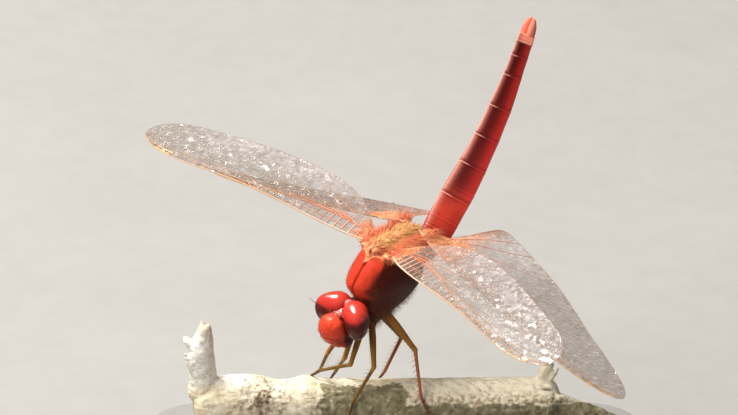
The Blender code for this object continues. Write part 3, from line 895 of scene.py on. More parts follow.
def lobe(row: Row, side: int = 1, tilt: float = 0.0, around: int = 40, along: int = 24) -> Mesh:
    """An ellipsoid of the insect.

    Args:
        row: ahead, left and up, then its half length, width and height.
        side: 1 on the left, -1 on the right.
        tilt: how far its top leans to the rear, in degrees.
        around: faces round it.
        along: faces from pole to pole.

    Returns:
        The closed mesh.
    """
    ahead, left, up, length, width, height = row
    return ball(body(ahead, left * side, up), (width, length, height), around, along, tilted(tilt))


# ---- head
@dataclass
class Head(Sculpture):
    """The head: capsule, face, mouth, compound eyes, ocelli and feelers.

    A ball's row is ahead, left and up, then its half length, width and height, and its lean in degrees.
    """

    eye_ball: Row = (7.06, 2.01, -3.52, 1.47, 2.2, 2.14)
    crown: Row = (6.5, 1.45, -2.98, 1.7, 1.75, 1.75)
    bridge: Row = (6.78, 1.73, -3.25, 1.6, 2.0, 1.97)
    eye_tilt: float = 4.0
    eye_toe: float = 25.0
    face: Row = (8.85, 0.0, -4.45, 1.7, 1.8, 1.95)
    face_tilt: float = -12.0
    lobes: Rows = (
        (6.95, 0.0, -4.5, 1.75, 2.3, 2.2, 0), (7.85, 0.0, -3.05, 0.58, 0.7, 0.58, 0),
        (6.2, 0.0, -2.4, 0.7, 0.72, 0.72, 0), (8.85, 0.0, -4.45, 1.7, 1.8, 1.95, -12),
        (9.0, 0.0, -5.35, 1.22, 1.52, 0.85, -6), (8.8, 0.0, -6.05, 0.95, 1.28, 0.66, 8),
        (8.1, 0.0, -6.0, 1.35, 1.5, 1.3, 0))
    cheeks: Rows = ((8.95, 0.72, -3.78, 1.28, 0.92, 0.95, -10), (7.75, 0.92, -6.25, 1.05, 0.78, 0.95, 0),
                    (6.1, 1.35, -4.6, 1.1, 1.3, 2.0, 0))
    socket: Row = (8.25, 0.8, -2.95, 0.26, 0.26, 0.26)
    ocelli: Rows = ((8.33, 0.0, -2.8, 0.15), (8.02, 0.5, -2.68, 0.12), (8.02, -0.5, -2.68, 0.12))
    feeler_line: Rows = ((0.0, 0.15), (0.25, 0.16), (0.5, 0.13), (0.62, 0.065), (1.1, 0.055), (1.8, 0.045),
                         (2.5, 0.032), (3.15, 0.018))
    bristle_count: int = 420
    voxel: float = 0.055

    def build(self) -> None:
        """Builds every part of the head."""
        self.capsule()
        self.small_eyes()
        for side in Side:
            self.eye(side)
            self.feeler(side)
        self.bristles()

    def grooves(self, place: Vector) -> tuple[float, float, float]:
        """How far up a place lies from the face's three grooves.

        Args:
            place: a point of the face.

        Returns:
            The distances from the grooves of brow, upper lip and jaw.
        """
        left, up = abs(place.x), place.z
        curve = (left / 1.5) ** 2
        return up + 0.3 * curve + 4.72, up + 0.22 * curve + 5.62, up - (0.2 * left - 6.45)

    def capsule(self) -> None:
        """The head's shell with the face's lobes and grooves."""
        parts = [lobe(row[:6], 1, row[6]) for row in self.lobes]
        for side in Side:
            parts += [lobe(row[:6], side.value, row[6]) for row in self.cheeks]
            parts.append(lobe(self.socket, side.value, 0, 16, 10))
        bm = fused(parts, self.voxel, 3)

        def relief(place: Vector, _: Vector) -> float:
            """Grooves across the face and down its middle."""
            ahead, left, up = -place.y, abs(place.x), place.z
            brow, lip, jaw = self.grooves(place)
            out = -0.07 * bump(brow, 0, 0.1) - 0.06 * bump(lip, 0, 0.09) - 0.05 * bump(jaw, 0, 0.08)
            out -= 0.06 * bump(left, 0.0, 0.12) * ease(up, -4.3, -3.6)
            return out * ease(ahead, 7.6, 8.6) + 0.01 * rough(place, 0.35)

        def colour(place: Vector, _: Vector) -> Colour:
            """Red face, pink crown, dark rear, grooves, painted shade in the gap under the brow, and dark
            sides beside the eyes.
            """
            ahead, left, up = -place.y, abs(place.x), place.z
            brow, lip, jaw = self.grooves(place)
            groove = max(bump(brow, 0, 0.1), bump(lip, 0, 0.1), bump(jaw, 0, 0.12))
            return coated(
                CRIMSON, (FACE, ease(ahead, 8.0, 8.9)),
                (CROWN, 0.9 * (ease(up, -3.9, -3.2) * (1 - ease(ahead, 8.2, 8.7)))),
                (MAROON, 0.9 * (1 - ease(ahead, 6.8, 7.9)) * (1 - ease(up, -3.1, -2.4))),
                (MAROON, 0.3 * groove * ease(ahead, 7.8, 8.6)),
                # Painted shade: a dark line in the gap between the face and the eyes.
                (BROW_SHADE, 0.7 * (bump(ahead, 8.28 - 0.1 * left, 0.16) * ease(up, -4.1, -3.6))),
                (SOOT, 0.8 * (ease(left, 1.25, 1.6) * (1 - ease(ahead, 8.2, 8.8)))),
                (LIP, 0.7 * ease(-up - 0.8 * (ahead - 8.6), 6.8, 7.3)))

        pushed(bm, relief)
        piece = finished("insect_head", tinted(bm, colour), HEAD_SHELL)
        self.keep(piece, "scarlet", "head", "face", "mouthparts")

    def small_eyes(self) -> None:
        """The three ocelli on the crown."""
        beads = bmesh.new()
        for *place, size in self.ocelli:
            add_into(beads, ball(body(*place), (size,) * 3, 16, 10))
        self.keep(finished("insect_ocelli", tinted(beads, OCELLUS), EYE_SHELL), "eye_red")

    def eye(self, side: Side) -> None:
        """One compound eye, cut where the two meet on top of the head."""
        s = side.value
        ahead, left, middle, length, width, half = self.eye_ball
        turn = Matrix.Rotation(radians(-s * self.eye_toe), 3, "Z") @ tilted(self.eye_tilt)
        outer = ball(body(ahead, left * s, middle), (width, length, half), 72, 48, turn)
        crown, bridge = (lobe(row, s, 0, 56, 36) for row in (self.crown, self.bridge))
        bm = fused((outer, bridge, crown), self.voxel, 60)
        cut = bmesh.ops.bisect_plane(bm, geom=bm.verts[:] + bm.edges[:] + bm.faces[:],
                                     plane_co=(s * 0.02, 0, 0), plane_no=(-s, 0, 0), clear_outer=True)
        rim = [e for e in cut["geom_cut"] if isinstance(e, bmesh.types.BMEdge)]
        bmesh.ops.edgeloop_fill(bm, edges=rim)

        def colour(place: Vector, _: Vector) -> Colour:
            """Bright on top, dark below with painted shade over the eye's own dark lower part, greenish at
            the bottom, dark seam.
            """
            height = (place.z - middle) / half + (0.05 * rough(place, 0.9) + 0.1 * ease(-place.y, 7.6, 8.4))
            tone = coated(EYE_RED, (EYE_TOP, ease(height, 0.5, 1.0)),
                          # The dark lower half is partly the eye's own colour and partly painted shade.
                          (EYE_DARK_AND_SHADE, 1 - ease(height, 0.4, 0.66)),
                          (EYE_BELLY, 1 - ease(height, -0.95, -0.72)))
            return blend(EYE_SEAM, tone, 0.4 + 0.6 * ease(s * place.x, 0.0, 0.35))

        piece = finished(f"insect_eye_{side.word}", tinted(bm, colour), EYE_SHELL, angle=50)
        self.keep(piece, "eye_red", f"eye_{side.word}")

    def feeler(self, side: Side) -> None:
        """A bristle-thin feeler on two stout joints."""
        start = body(8.25, 0.8 * side.value, -2.85)
        lean = body(0.62, 0.5 * side.value, 0.6).normalized()
        up = body(0.0, 0.0, 1.0)
        knots = [start + lean * t + up * 0.05 * t * t for t, _ in self.feeler_line]
        bm = limb(knots, [radius for _, radius in self.feeler_line], 10)
        tinted(bm, lambda place, _: blend(RUST_HAIR, SOOT, ease((place - start).length, 0.3, 0.8)))
        self.keep(finished(f"insect_feeler_{side.word}", bm, LEG_SHELL), "leg_brown",
                  f"antenna_{side.word}")

    def bristles(self) -> None:
        """Sparse dark bristles on the face and brow."""
        rng = np.random.default_rng(7)
        turn, centre = tilted(self.face_tilt), body(*self.face[:3])
        length, width, height = Vector(self.face[3:])
        coat = []
        for _ in range(self.bristle_count):
            u, v = rng.uniform(-1.25, 1.25), rng.uniform(-1.2, 1.1)
            way = Vector((sin(u) * cos(v), -cos(u) * cos(v), sin(v)))
            root = centre + turn @ Vector((way.x * width, way.y * length, way.z * height)) * 0.99
            lean = way + Vector((0, -0.2, 0.35)) + Vector(rng.normal(0, 0.18, 3))
            coat.append(Hair(root, lean, rng.uniform(0.16, 0.34), 0.022, (0.5 + u / 2.8, 0.5 + v / 2.8),
                             blend(SOOT, CRIMSON, rng.uniform(0, 0.6))))
        self.keep(combed("insect_face_bristles", coat, 0.1), "leg_brown")


# ---- thorax
@dataclass
class Thorax(Sculpture):
    """The deep slanted thorax with its sutures, wing roots and hair.

    A level's row is up, foremost, rearmost and half width. Wing knobs are measured from their wing root.
    A suture's row is where it starts, and its slope.
    """

    levels: Rows = (
        (-6.3, 4.5, 3.1, 0.7), (-6.0, 5.0, 2.2, 1.3), (-5.3, 5.0, 0.4, 1.75),
        (-4.4, 4.6, -2.55, 2.25), (-3.4, 4.45, -4.25, 2.6), (-2.2, 4.7, -5.0, 2.9),
        (-1.1, 5.35, -5.25, 3.05), (-0.25, 5.55, -5.3, 3.05), (0.8, 4.85, -5.25, 2.95),
        (1.8, 3.85, -5.1, 2.8), (2.6, 2.8, -4.95, 2.6), (3.2, 1.9, -4.75, 2.2),
        (3.6, 1.0, -4.3, 1.55))
    squareness: float = 2.3
    knobs: Rows = ((5.1, 0, -3.35, 0.75, 1.35, 1.3), (5.7, 0, -3.35, 0.55, 0.95, 0.95),
                   (1.2, 0, 3.35, 1.25, 0.95, 0.62), (-0.55, 0, 3.55, 0.75, 0.7, 0.5),
                   (-2.7, 0, 3.35, 1.25, 1.0, 0.62), (-4.35, 0, 2.95, 0.8, 0.75, 0.5))
    wing_roots: Row = (0.52, -4.2)
    wing_knobs: Rows = ((0.65, 1.95, 2.95, 0.62, 0.72, 0.42), (-0.15, 2.1, 3.05, 0.55, 0.62, 0.36),
                        (-0.95, 2.0, 2.92, 0.62, 0.55, 0.38))
    hips: Rows = ((5.0, 1.0, -5.5), (3.7, 1.15, -5.4), (1.7, 1.3, -4.9))
    sutures: Rows = ((3.15, 0.3), (0.2, 0.36), (-1.75, 0.36))
    hair_count: int = 11500
    voxel: float = 0.085
    skin: list[tuple[Vector, Vector]] = field(default_factory=list, init=False)

    def build(self) -> None:
        """Builds the shell and its hair."""
        self.shell()
        self.fur()

    def surface(self, u: float, v: float) -> Vector:
        """The plain shell.

        Args:
            u: how far round it, 0 to 1.
            v: how far up it, 0 to 1.

        Returns:
            The point.
        """
        low, high = self.levels[0][0], self.levels[-1][0]
        trim = 0.5 - 0.5 * cos(pi * v)
        up = low + (high - low) * (0.35 * trim + 0.65 * v)
        front, rear, half = between(self.levels, up)
        close = min(1.0, sqrt(max(0.0, min(v, 1 - v)) / 0.03))
        c, s = cos(TURN * u), sin(TURN * u)
        power = 2 / self.squareness
        reach = 0.5 * (front - rear) * close
        return body(0.5 * (front + rear) + copysign(abs(c) ** power, c) * reach,
                    copysign(abs(s) ** power, s) * half * close, up)

    def seams(self, place: Vector) -> tuple[float, float, float]:
        """The lines of the shell.

        Args:
            place: a point of it.

        Returns:
            How much the point lies in a suture, on the keel, on the ridge.
        """
        ahead, left, up = -place.y, abs(place.x), place.z
        flank = ease(left, 2.0, 2.6)
        seam = flank * max(bump(up, -4.15, 0.1), *(bump(ahead, start + slope * up, 0.11)
                                                   for start, slope in self.sutures))
        keel = bump(left, 0.0, 0.1) * ease(ahead, 1.2, 2.6) * ease(up, -2.2, -1.2)
        ridge = bump(self.past(place), 0.0, 0.17) * ease(up, 1.4, 2.0) * (1 - ease(left, 1.6, 2.2))
        return seam, keel, ridge

    def past(self, place: Vector) -> float:
        """How far ahead of the bright ridge before the wings a place is."""
        return -place.y - 1.8 - 1.6 * exp(-abs(place.x) / 0.6)

    def pits(self, place: Vector) -> float:
        """How deep a place lies in the small pits of the back."""
        spot = Vector((place.x * 0.7, place.y, place.z))
        return (ease(noise.noise(spot * 1.9), 0.22, 0.55) * ease(-self.past(place), 0.1, 0.5)
                * ease(place.z, 2.3, 2.9))

    def shell(self) -> None:
        """The shell with its ridges, sutures, wing roots and hips."""
        parts = [wrapped(self.surface, 64, 60)]
        parts += [lobe(row, 1, 0, 28, 18) for row in self.knobs]
        for side in Side:
            for root in self.wing_roots:
                parts += [lobe((root + ahead, *row), side.value, 0, 28, 18)
                          for ahead, *row in self.wing_knobs]
            parts += [lobe((ahead - 0.1, left * 0.95, up - 0.15, 0.62, 0.58, 0.95), side.value, 0, 28, 18)
                      for ahead, left, up in self.hips]
        bm = fused(parts, self.voxel, 3)

        def relief(place: Vector, _: Vector) -> float:
            """Seams, keel and its gutters, ridge, pits and folds."""
            seam, keel, ridge = self.seams(place)
            gutter = bump(abs(place.x), 0.26, 0.13) * ease(-place.y, 1.2, 2.6) * ease(place.z, -2.2, -1.2)
            folds = rough(Vector((place.x * 0.45, place.y, place.z)), 0.55)
            return (-0.07 * seam + 0.13 * keel - 0.07 * gutter + 0.13 * ridge + 0.03 * rough(place, 1.3)
                    - 0.1 * self.pits(place)
                    + 0.05 * folds * ease(-self.past(place), 0.0, 0.6) * ease(place.z, 2.2, 2.9))

        def colour(place: Vector, normal: Vector) -> Colour:
            """Red front, flanks and rear darkened with painted shade, dark breast, streaky golden back."""
            ahead, up = -place.y, place.z
            seam, keel, ridge = self.seams(place)
            streak = rough(Vector((place.x * 0.4, place.y, place.z)), 0.6)
            return coated(
                # Painted shade: the flanks and the rear are near-black maroon, much darker than the shell's
                # own red.
                COLLAR, (MAROON, ease(-up, 1.3, 2.0)), (FLANK_SHADE, ease(abs(normal.x), 0.58, 0.84)),
                (REAR_FLANK_SHADE, 0.8 * ease(1.5 - ahead, 0.0, 3.0)), (BREAST, 0.6 * ease(-up, 3.6, 5.2)),
                (blend(GOLD_SHELL, SALMON_SHELL, 0.5 + 0.9 * streak),
                 ease(-self.past(place), 0.0, 0.3) * ease(up, 2.0, 2.6)),
                # Painted shade: the keel down the front is painted dark along its ridge.
                (MAROON, 0.5 * seam), (KEEL_SHADE, 0.8 * keel), (RIDGE, 0.85 * ridge),
                (PIT, 0.8 * self.pits(place)))

        pushed(bm, relief)
        tinted(bm, colour)
        self.skin = [(f.calc_center_median(), f.normal.copy()) for f in bm.faces]
        self.keep(finished("insect_thorax", bm, BODY_SHELL), "scarlet", "thorax", "prothorax")

    def fur(self) -> None:
        """Golden hair on the back, darkened with painted shade on the flanks, and tan below."""
        rng = np.random.default_rng(11)
        low, high = self.levels[0][0], self.levels[-1][0]
        coat = []
        while len(coat) < self.hair_count:
            root, normal = self.skin[rng.integers(len(self.skin))]
            left, up = root.x, root.z
            back = ease(-self.past(root), -0.1, 0.4) * ease(up, 1.9, 2.6)
            below = ease(-up, 2.6, 5.0)
            front = ease(-root.y, 2.2, 4.2) * 0.4
            if rng.random() > max(0.05, 0.45 * below, back, front):
                continue
            lie = (Vector((0.7 * max(-1.0, min(1.0, left)), 0.8, 0.05)) * back
                   + Vector((0, 0.45, -0.35)) * (1 - back))
            lean = normal * (0.75 - 0.45 * back) + lie + Vector(rng.normal(0, 0.2, 3))
            length = (rng.uniform(0.28, 0.5) + 0.55 * below * rng.random()
                      + back * rng.uniform(0.1, 0.9 + ease(abs(left), 1.4, 2.2)))
            salmon = max(ease(abs(left), 0.5, 1.7), 1 - ease(-self.past(root), 0.3, 1.5))
            tone = RUST_HAIR
            if rng.random() > 0.1:
                tone = blend(GOLD_HAIR, SALMON_HAIR, salmon + rng.normal(0, 0.25))
            # Hair off the back, the front and the belly takes the flanks' painted shade.
            tone = coated(FLANK_HAIR_SHADE, (TAN_HAIR, below), (FRONT_HAIR, 1.6 * front), (tone, back))
            spot = (0.5 + atan2(left, -root.y) / TURN, (up - low) / (high - low))
            coat.append(Hair(root - normal * 0.04, lean, length, 0.02 + back * rng.uniform(0.015, 0.055),
                             spot, tone))
        self.keep(combed("insect_fur", coat), "scarlet")


# ---- abdomen
@dataclass
class Abdomen(Sculpture):
    """The ten ringed segments, raised at the sky, and the tail's tips.

    Rows start with a length along the middle line, and those of the tips with a share of the tips' length.
    Headings and roll are degrees, girth is width and depth, and a clasper has its distance out and radius.
    """

    start: Row = (-5.1, -0.7)
    heading: Rows = ((0.0, -5), (1.0, 10), (2.2, 35), (3.5, 46), (5.0, 46), (8.0, 44.5), (12, 46.5),
                     (16, 50), (20, 54), (24, 58), (28, 60), (32, 58))
    girth: Rows = (
        (0.0, 3.5, 3.3), (1.3, 4.1, 3.5), (3.0, 4.8, 3.7), (5.0, 5.4, 3.7), (9.0, 5.8, 3.7),
        (12.8, 5.3, 3.35), (15.8, 4.8, 3.1), (18.0, 4.45, 2.9), (22.0, 3.8, 2.6), (25.0, 3.1, 2.2),
        (28.0, 2.75, 2.0), (29.3, 2.7, 1.95), (30.2, 2.5, 1.85), (32.2, 1.6, 1.5))
    roll: Rows = ((1.0, 0.0), (7.0, 12.0))
    joints: Row = (0.0, 1.3, 4.17, 8.4, 12.76, 16.6, 20.6, 24.75, 27.3, 29.2, 30.1)
    folds: Row = (0.34, 0.3, 0.26)
    length: float = 32.2
    collar: float = 0.35
    clasper: Rows = ((0.0, 0.52, 0.46), (0.2, 0.54, 0.52), (0.5, 0.49, 0.48), (0.8, 0.35, 0.34),
                     (0.93, 0.22, 0.18))
    plate: Rows = ((0.0, 0.3), (0.3, 0.3), (0.6, 0.22), (0.72, 0.12))
    path: Rows = field(default=(), init=False)

    def __post_init__(self) -> None:
        """Works out the middle line."""
        ahead, up = self.start
        rows, s, step = [], 0.0, 0.05
        while s <= self.length + step:
            turn = radians(between(self.heading, s)[0])
            rows.append((s, ahead, up, turn))
            ahead -= cos(turn) * step
            up += sin(turn) * step
            s += step
        self.path = tuple(rows)

    def build(self) -> None:
        """Builds the segments and the tail's tips."""
        self.rings()
        self.tips()

    def beside(self, s: float, left: float, rise: float) -> Vector:
        """A point beside the middle line.

        Args:
            s: the length along the line.
            left: how far to the left of it.
            rise: how far above it, square to it.

        Returns:
            The point.
        """
        ahead, up, turn = between(self.path, s)
        return body(ahead + rise * sin(turn), left, up + rise * cos(turn))

    def section(self, s: float, u: float) -> Vector:
        """The skin.

        Args:
            s: the length along the middle line.
            u: how far round it, 0 to 1 from the top.

        Returns:
            The point.
        """
        width, depth = between(self.girth, s)
        t = TURN * u
        flank = abs(sin(t))
        scale, lift = self.relief(s, u)
        left = 0.5 * width * sin(t) * scale
        if cos(t) >= 0:
            rise = 0.6 * depth * (1 - flank ** 1.08) * scale + lift
        else:
            rise = -0.4 * depth * (1 - flank ** 2.4) * scale - lift
        lean = radians(between(self.roll, s)[0])
        return self.beside(s, left * cos(lean) - rise * sin(lean), left * sin(lean) + rise * cos(lean))

    def relief(self, s: float, u: float) -> tuple[float, float]:
        """The skin's relief from joints, keels and folds.

        Args:
            s: the length along the middle line.
            u: how far round it.

        Returns:
            The section's scale, and how far it is lifted.
        """
        i = max(k for k in range(10) if self.joints[k] <= max(s, 0.0))
        start, reach = self.joints[i], self.joints[i + 1] - self.joints[i]
        scale, keel = 1.0, min(u, 1 - u)
        sharp = 1 - 0.75 * ease(keel, 0.06, 0.16)
        for joint in self.joints[1:10]:
            away = s - joint
            scale += 0.03 * sharp * bump(away, -0.14, 0.12)
            scale -= 0.055 * sharp * bump(away, 0.05, 0.07)
        if i in (1, 2, 3):
            fold = start + self.folds[i - 1] * reach
            scale += 0.018 * bump(s, fold, 0.09) - 0.012 * bump(s, fold + 0.16, 0.09)
        share = max(0.0, min(1.0, (s - start) / reach))
        scale -= 0.025 * sin(pi * share) * ease(s, 8.0, 14.0)
        scale += 0.02 * bump(abs(keel - 0.235), 0.0, 0.012) * ease(s, 5.0, 9.0)
        lift = 0.17 * bump(keel, 0.0, 0.017) * ease(s, 3.0, 6.0)
        lift -= 0.1 * bump(abs(keel - 0.36), 0.0, 0.014) * ease(s, 0.8, 2.0)
        return scale, lift

    def colour(self, s: float, u: float) -> Colour:
        """The skin's colour, with painted shade beside the keel and a painted highlight along it.

        Args:
            s: the length along the middle line.
            u: how far round it.

        Returns:
            The colour.
        """
        keel = min(u, 1 - u)
        top = 1 - ease(keel, 0.17, 0.26)
        tone = coated(
            # Painted shade: a dark band on each side of the keel.
            TAIL_BASE, (blend(KEEL_BAND_SHADE, TAIL_RED, ease(keel, 0.06, 0.18)),
                        max(ease(s, 5.5, 11.0), 0.6 * ease(keel, 0.08, 0.16))),
            (FOLD, 0.7 * bump(keel, 0.235, 0.012)), (BELLY, ease(keel, 0.25, 0.33)),
            # Painted highlight: a pale pink strip along the keel.
            (KEEL_HIGHLIGHT, bump(keel, 0.0, 0.019) * ease(s, 2.5, 5.0)))
        for joint in self.joints[3:9]:
            mark = 0.9 * bump(s - joint, -0.04, 0.055) * (1 - ease(keel, 0.02, 0.08))
            tone = coated(tone, (MAROON, 0.5 * bump(s - joint, 0.24, 0.15)), (JOINT, mark))
        return coated(tone, (TAIL_TIP, ease(s, 28.9, 29.6)), (LAST_JOINT, 0.7 * top * bump(s, 29.2, 0.12)),
                      (ORANGE, 0.35 * (1 - ease(s, 0.6, 3.4))))

    def rings(self) -> None:
        """The ringed skin of the ten segments."""
        end = self.joints[10]

        def place(u: float, v: float) -> Vector:
            """The skin at u round it and v along it, closed at both ends."""
            s = -self.collar + (end + self.collar) * v
            if v < 1e-6 or v > 1 - 1e-6:
                ahead, up, _ = between(self.path, max(s, 0.0))
                return body(ahead, 0.0, up)
            return self.section(max(s, 0.0), u) + body(max(-s, 0.0), 0.0, 0.0)

        bm = wrapped(place, 96, 560)
        layer = bm.verts.layers.float_color.new("tint")
        chart = bm.loops.layers.uv["OFBake"]
        for vert in bm.verts:
            u, v = vert.link_loops[0][chart].uv
            s = max(-self.collar + (end + self.collar) * v, 0.0)
            vert[layer] = (*self.colour(s, u), 1.0)
        bmesh.ops.recalc_face_normals(bm, faces=bm.faces)
        self.keep(finished("insect_abdomen", bm, BODY_SHELL), "scarlet",
                  *(f"abdomen_{k}" for k in range(1, 11)))

    def tips(self) -> None:
        """The two claspers and the plate between them."""
        start = self.joints[10] - 0.15
        reach = self.length - start
        for side in Side:
            points = [self.beside(start + reach * t, side.value * off, 0.16 + 0.1 * t)
                      for t, off, _ in self.clasper]
            bm = tinted(limb(points, [row[2] for row in self.clasper], 16), TAIL_TIP)
            self.keep(finished(f"insect_clasper_{side.word}", bm, BODY_SHELL), "scarlet",
                      f"cercus_{side.word}")
        points = [self.beside(start + reach * t, 0.0, -0.36) for t, _ in self.plate]
        bm = tinted(limb(points, [row[1] for row in self.plate], 16), TAIL_PLATE)
        self.keep(finished("insect_tail_plate", bm, BODY_SHELL), "scarlet", "epiproct")


# ---- wings
@dataclass(frozen=True)
class Vein:
    """A long vein of a wing.

    Attributes:
        route: its points, as shares of the wing's length out and ahead.
        girth: its diameter at its root, in mm.
        red: how red it is, from brown at 0.
    """

    route: Rows
    girth: float
    red: float

    def ahead(self, x: float) -> float:
        """How far ahead it lies at x."""
        return between(self.route, x)[0]


FORE_OUTLINE: Rows = (
    (-0.03, 0.0, -0.03), (0.0, 0.004, -0.045), (0.03, 0.012, -0.08), (0.08, 0.022, -0.128),
    (0.17, 0.026, -0.192), (0.28, 0.022, -0.222), (0.4, 0.013, -0.231), (0.52, 0.005, -0.231),
    (0.65, 0.003, -0.222), (0.8, -0.002, -0.213), (0.9, -0.022, -0.2), (0.96, -0.052, -0.173),
    (0.99, -0.082, -0.142), (1.0, -0.105, -0.115))
HIND_OUTLINE: Rows = (
    (-0.03, 0.004, -0.04), (0.0, 0.008, -0.052), (0.03, 0.012, -0.066), (0.055, 0.016, -0.1),
    (0.065, 0.017, -0.2), (0.075, 0.018, -0.275), (0.095, 0.019, -0.303), (0.13, 0.019, -0.312),
    (0.2, 0.014, -0.312), (0.3, 0.006, -0.307), (0.42, 0.0, -0.293), (0.55, -0.005, -0.263),
    (0.66, -0.01, -0.232), (0.78, -0.02, -0.205), (0.88, -0.04, -0.178), (0.95, -0.063, -0.152),
    (0.985, -0.084, -0.128), (1.0, -0.1, -0.108))
FORE_VEINS: tuple[Vein, ...] = (
    Vein(((-0.02, -0.004), (0.0, -0.006), (0.1, -0.006), (0.25, -0.006), (0.36, 0.0),
          (0.505, 0.002)), 0.1, 0.9),
    Vein(((-0.02, -0.018), (0.03, -0.03), (0.08, -0.04), (0.17, -0.046), (0.25, -0.043),
          (0.36, -0.031), (0.47, -0.015), (0.55, -0.015), (0.7, -0.019), (0.88, -0.037),
          (0.95, -0.063), (0.985, -0.092)), 0.21, 1.0),
    Vein(((0.105, -0.05), (0.17, -0.058), (0.3, -0.052), (0.42, -0.04), (0.5, -0.036),
          (0.7, -0.041), (0.88, -0.06), (0.985, -0.106)), 0.14, 0.8),
    Vein(((0.5, -0.036), (0.62, -0.062), (0.78, -0.096), (0.9, -0.14), (0.955, -0.172)), 0.07, 0.3),
    Vein(((0.3, -0.054), (0.45, -0.07), (0.62, -0.108), (0.78, -0.155), (0.88, -0.2)), 0.07, 0.3),
    Vein(((0.27, -0.055), (0.36, -0.074), (0.5, -0.118), (0.64, -0.172), (0.745, -0.216)), 0.07, 0.3),
    Vein(((0.105, -0.052), (0.2, -0.072), (0.35, -0.102), (0.5, -0.152), (0.645, -0.222)), 0.1, 0.5),
    Vein(((0.165, -0.075), (0.2, -0.105), (0.27, -0.142), (0.37, -0.19), (0.465, -0.231)), 0.09, 0.5),
    Vein(((-0.01, -0.028), (0.04, -0.046), (0.1, -0.062), (0.165, -0.072)), 0.17, 0.9),
    Vein(((-0.01, -0.035), (0.06, -0.068), (0.12, -0.092), (0.19, -0.12), (0.25, -0.165),
          (0.31, -0.224)), 0.1, 0.8))
HIND_VEINS: tuple[Vein, ...] = (
    Vein(((-0.02, 0.0), (0.1, 0.004), (0.25, -0.001), (0.42, -0.006)), 0.12, 0.9),
    Vein(((-0.02, -0.014), (0.1, -0.01), (0.25, -0.015), (0.5, -0.023), (0.7, -0.032),
          (0.88, -0.056), (0.95, -0.078), (0.985, -0.096)), 0.21, 1.0),
    Vein(((0.06, -0.014), (0.12, -0.027), (0.3, -0.036), (0.5, -0.045), (0.7, -0.057),
          (0.88, -0.08), (0.985, -0.108)), 0.11, 0.6),
    Vein(((0.42, -0.042), (0.55, -0.07), (0.72, -0.107), (0.85, -0.142), (0.93, -0.162)), 0.07, 0.3),
    Vein(((0.24, -0.036), (0.38, -0.068), (0.55, -0.124), (0.7, -0.178), (0.8, -0.201)), 0.07, 0.3),
    Vein(((0.2, -0.034), (0.3, -0.066), (0.45, -0.132), (0.58, -0.192), (0.68, -0.228)), 0.07, 0.3),
    Vein(((0.06, -0.02), (0.15, -0.048), (0.3, -0.1), (0.45, -0.18), (0.56, -0.261)), 0.1, 0.5),
    Vein(((0.085, -0.062), (0.12, -0.105), (0.22, -0.172), (0.33, -0.242), (0.41, -0.296)), 0.09, 0.5),
    Vein(((-0.01, -0.026), (0.03, -0.036), (0.085, -0.06)), 0.17, 0.9),
    Vein(((0.03, -0.045), (0.075, -0.09), (0.12, -0.16), (0.19, -0.235), (0.25, -0.311)), 0.1, 0.7),
    Vein(((0.05, -0.075), (0.075, -0.135), (0.105, -0.21), (0.145, -0.275), (0.17, -0.312)), 0.09, 0.7))


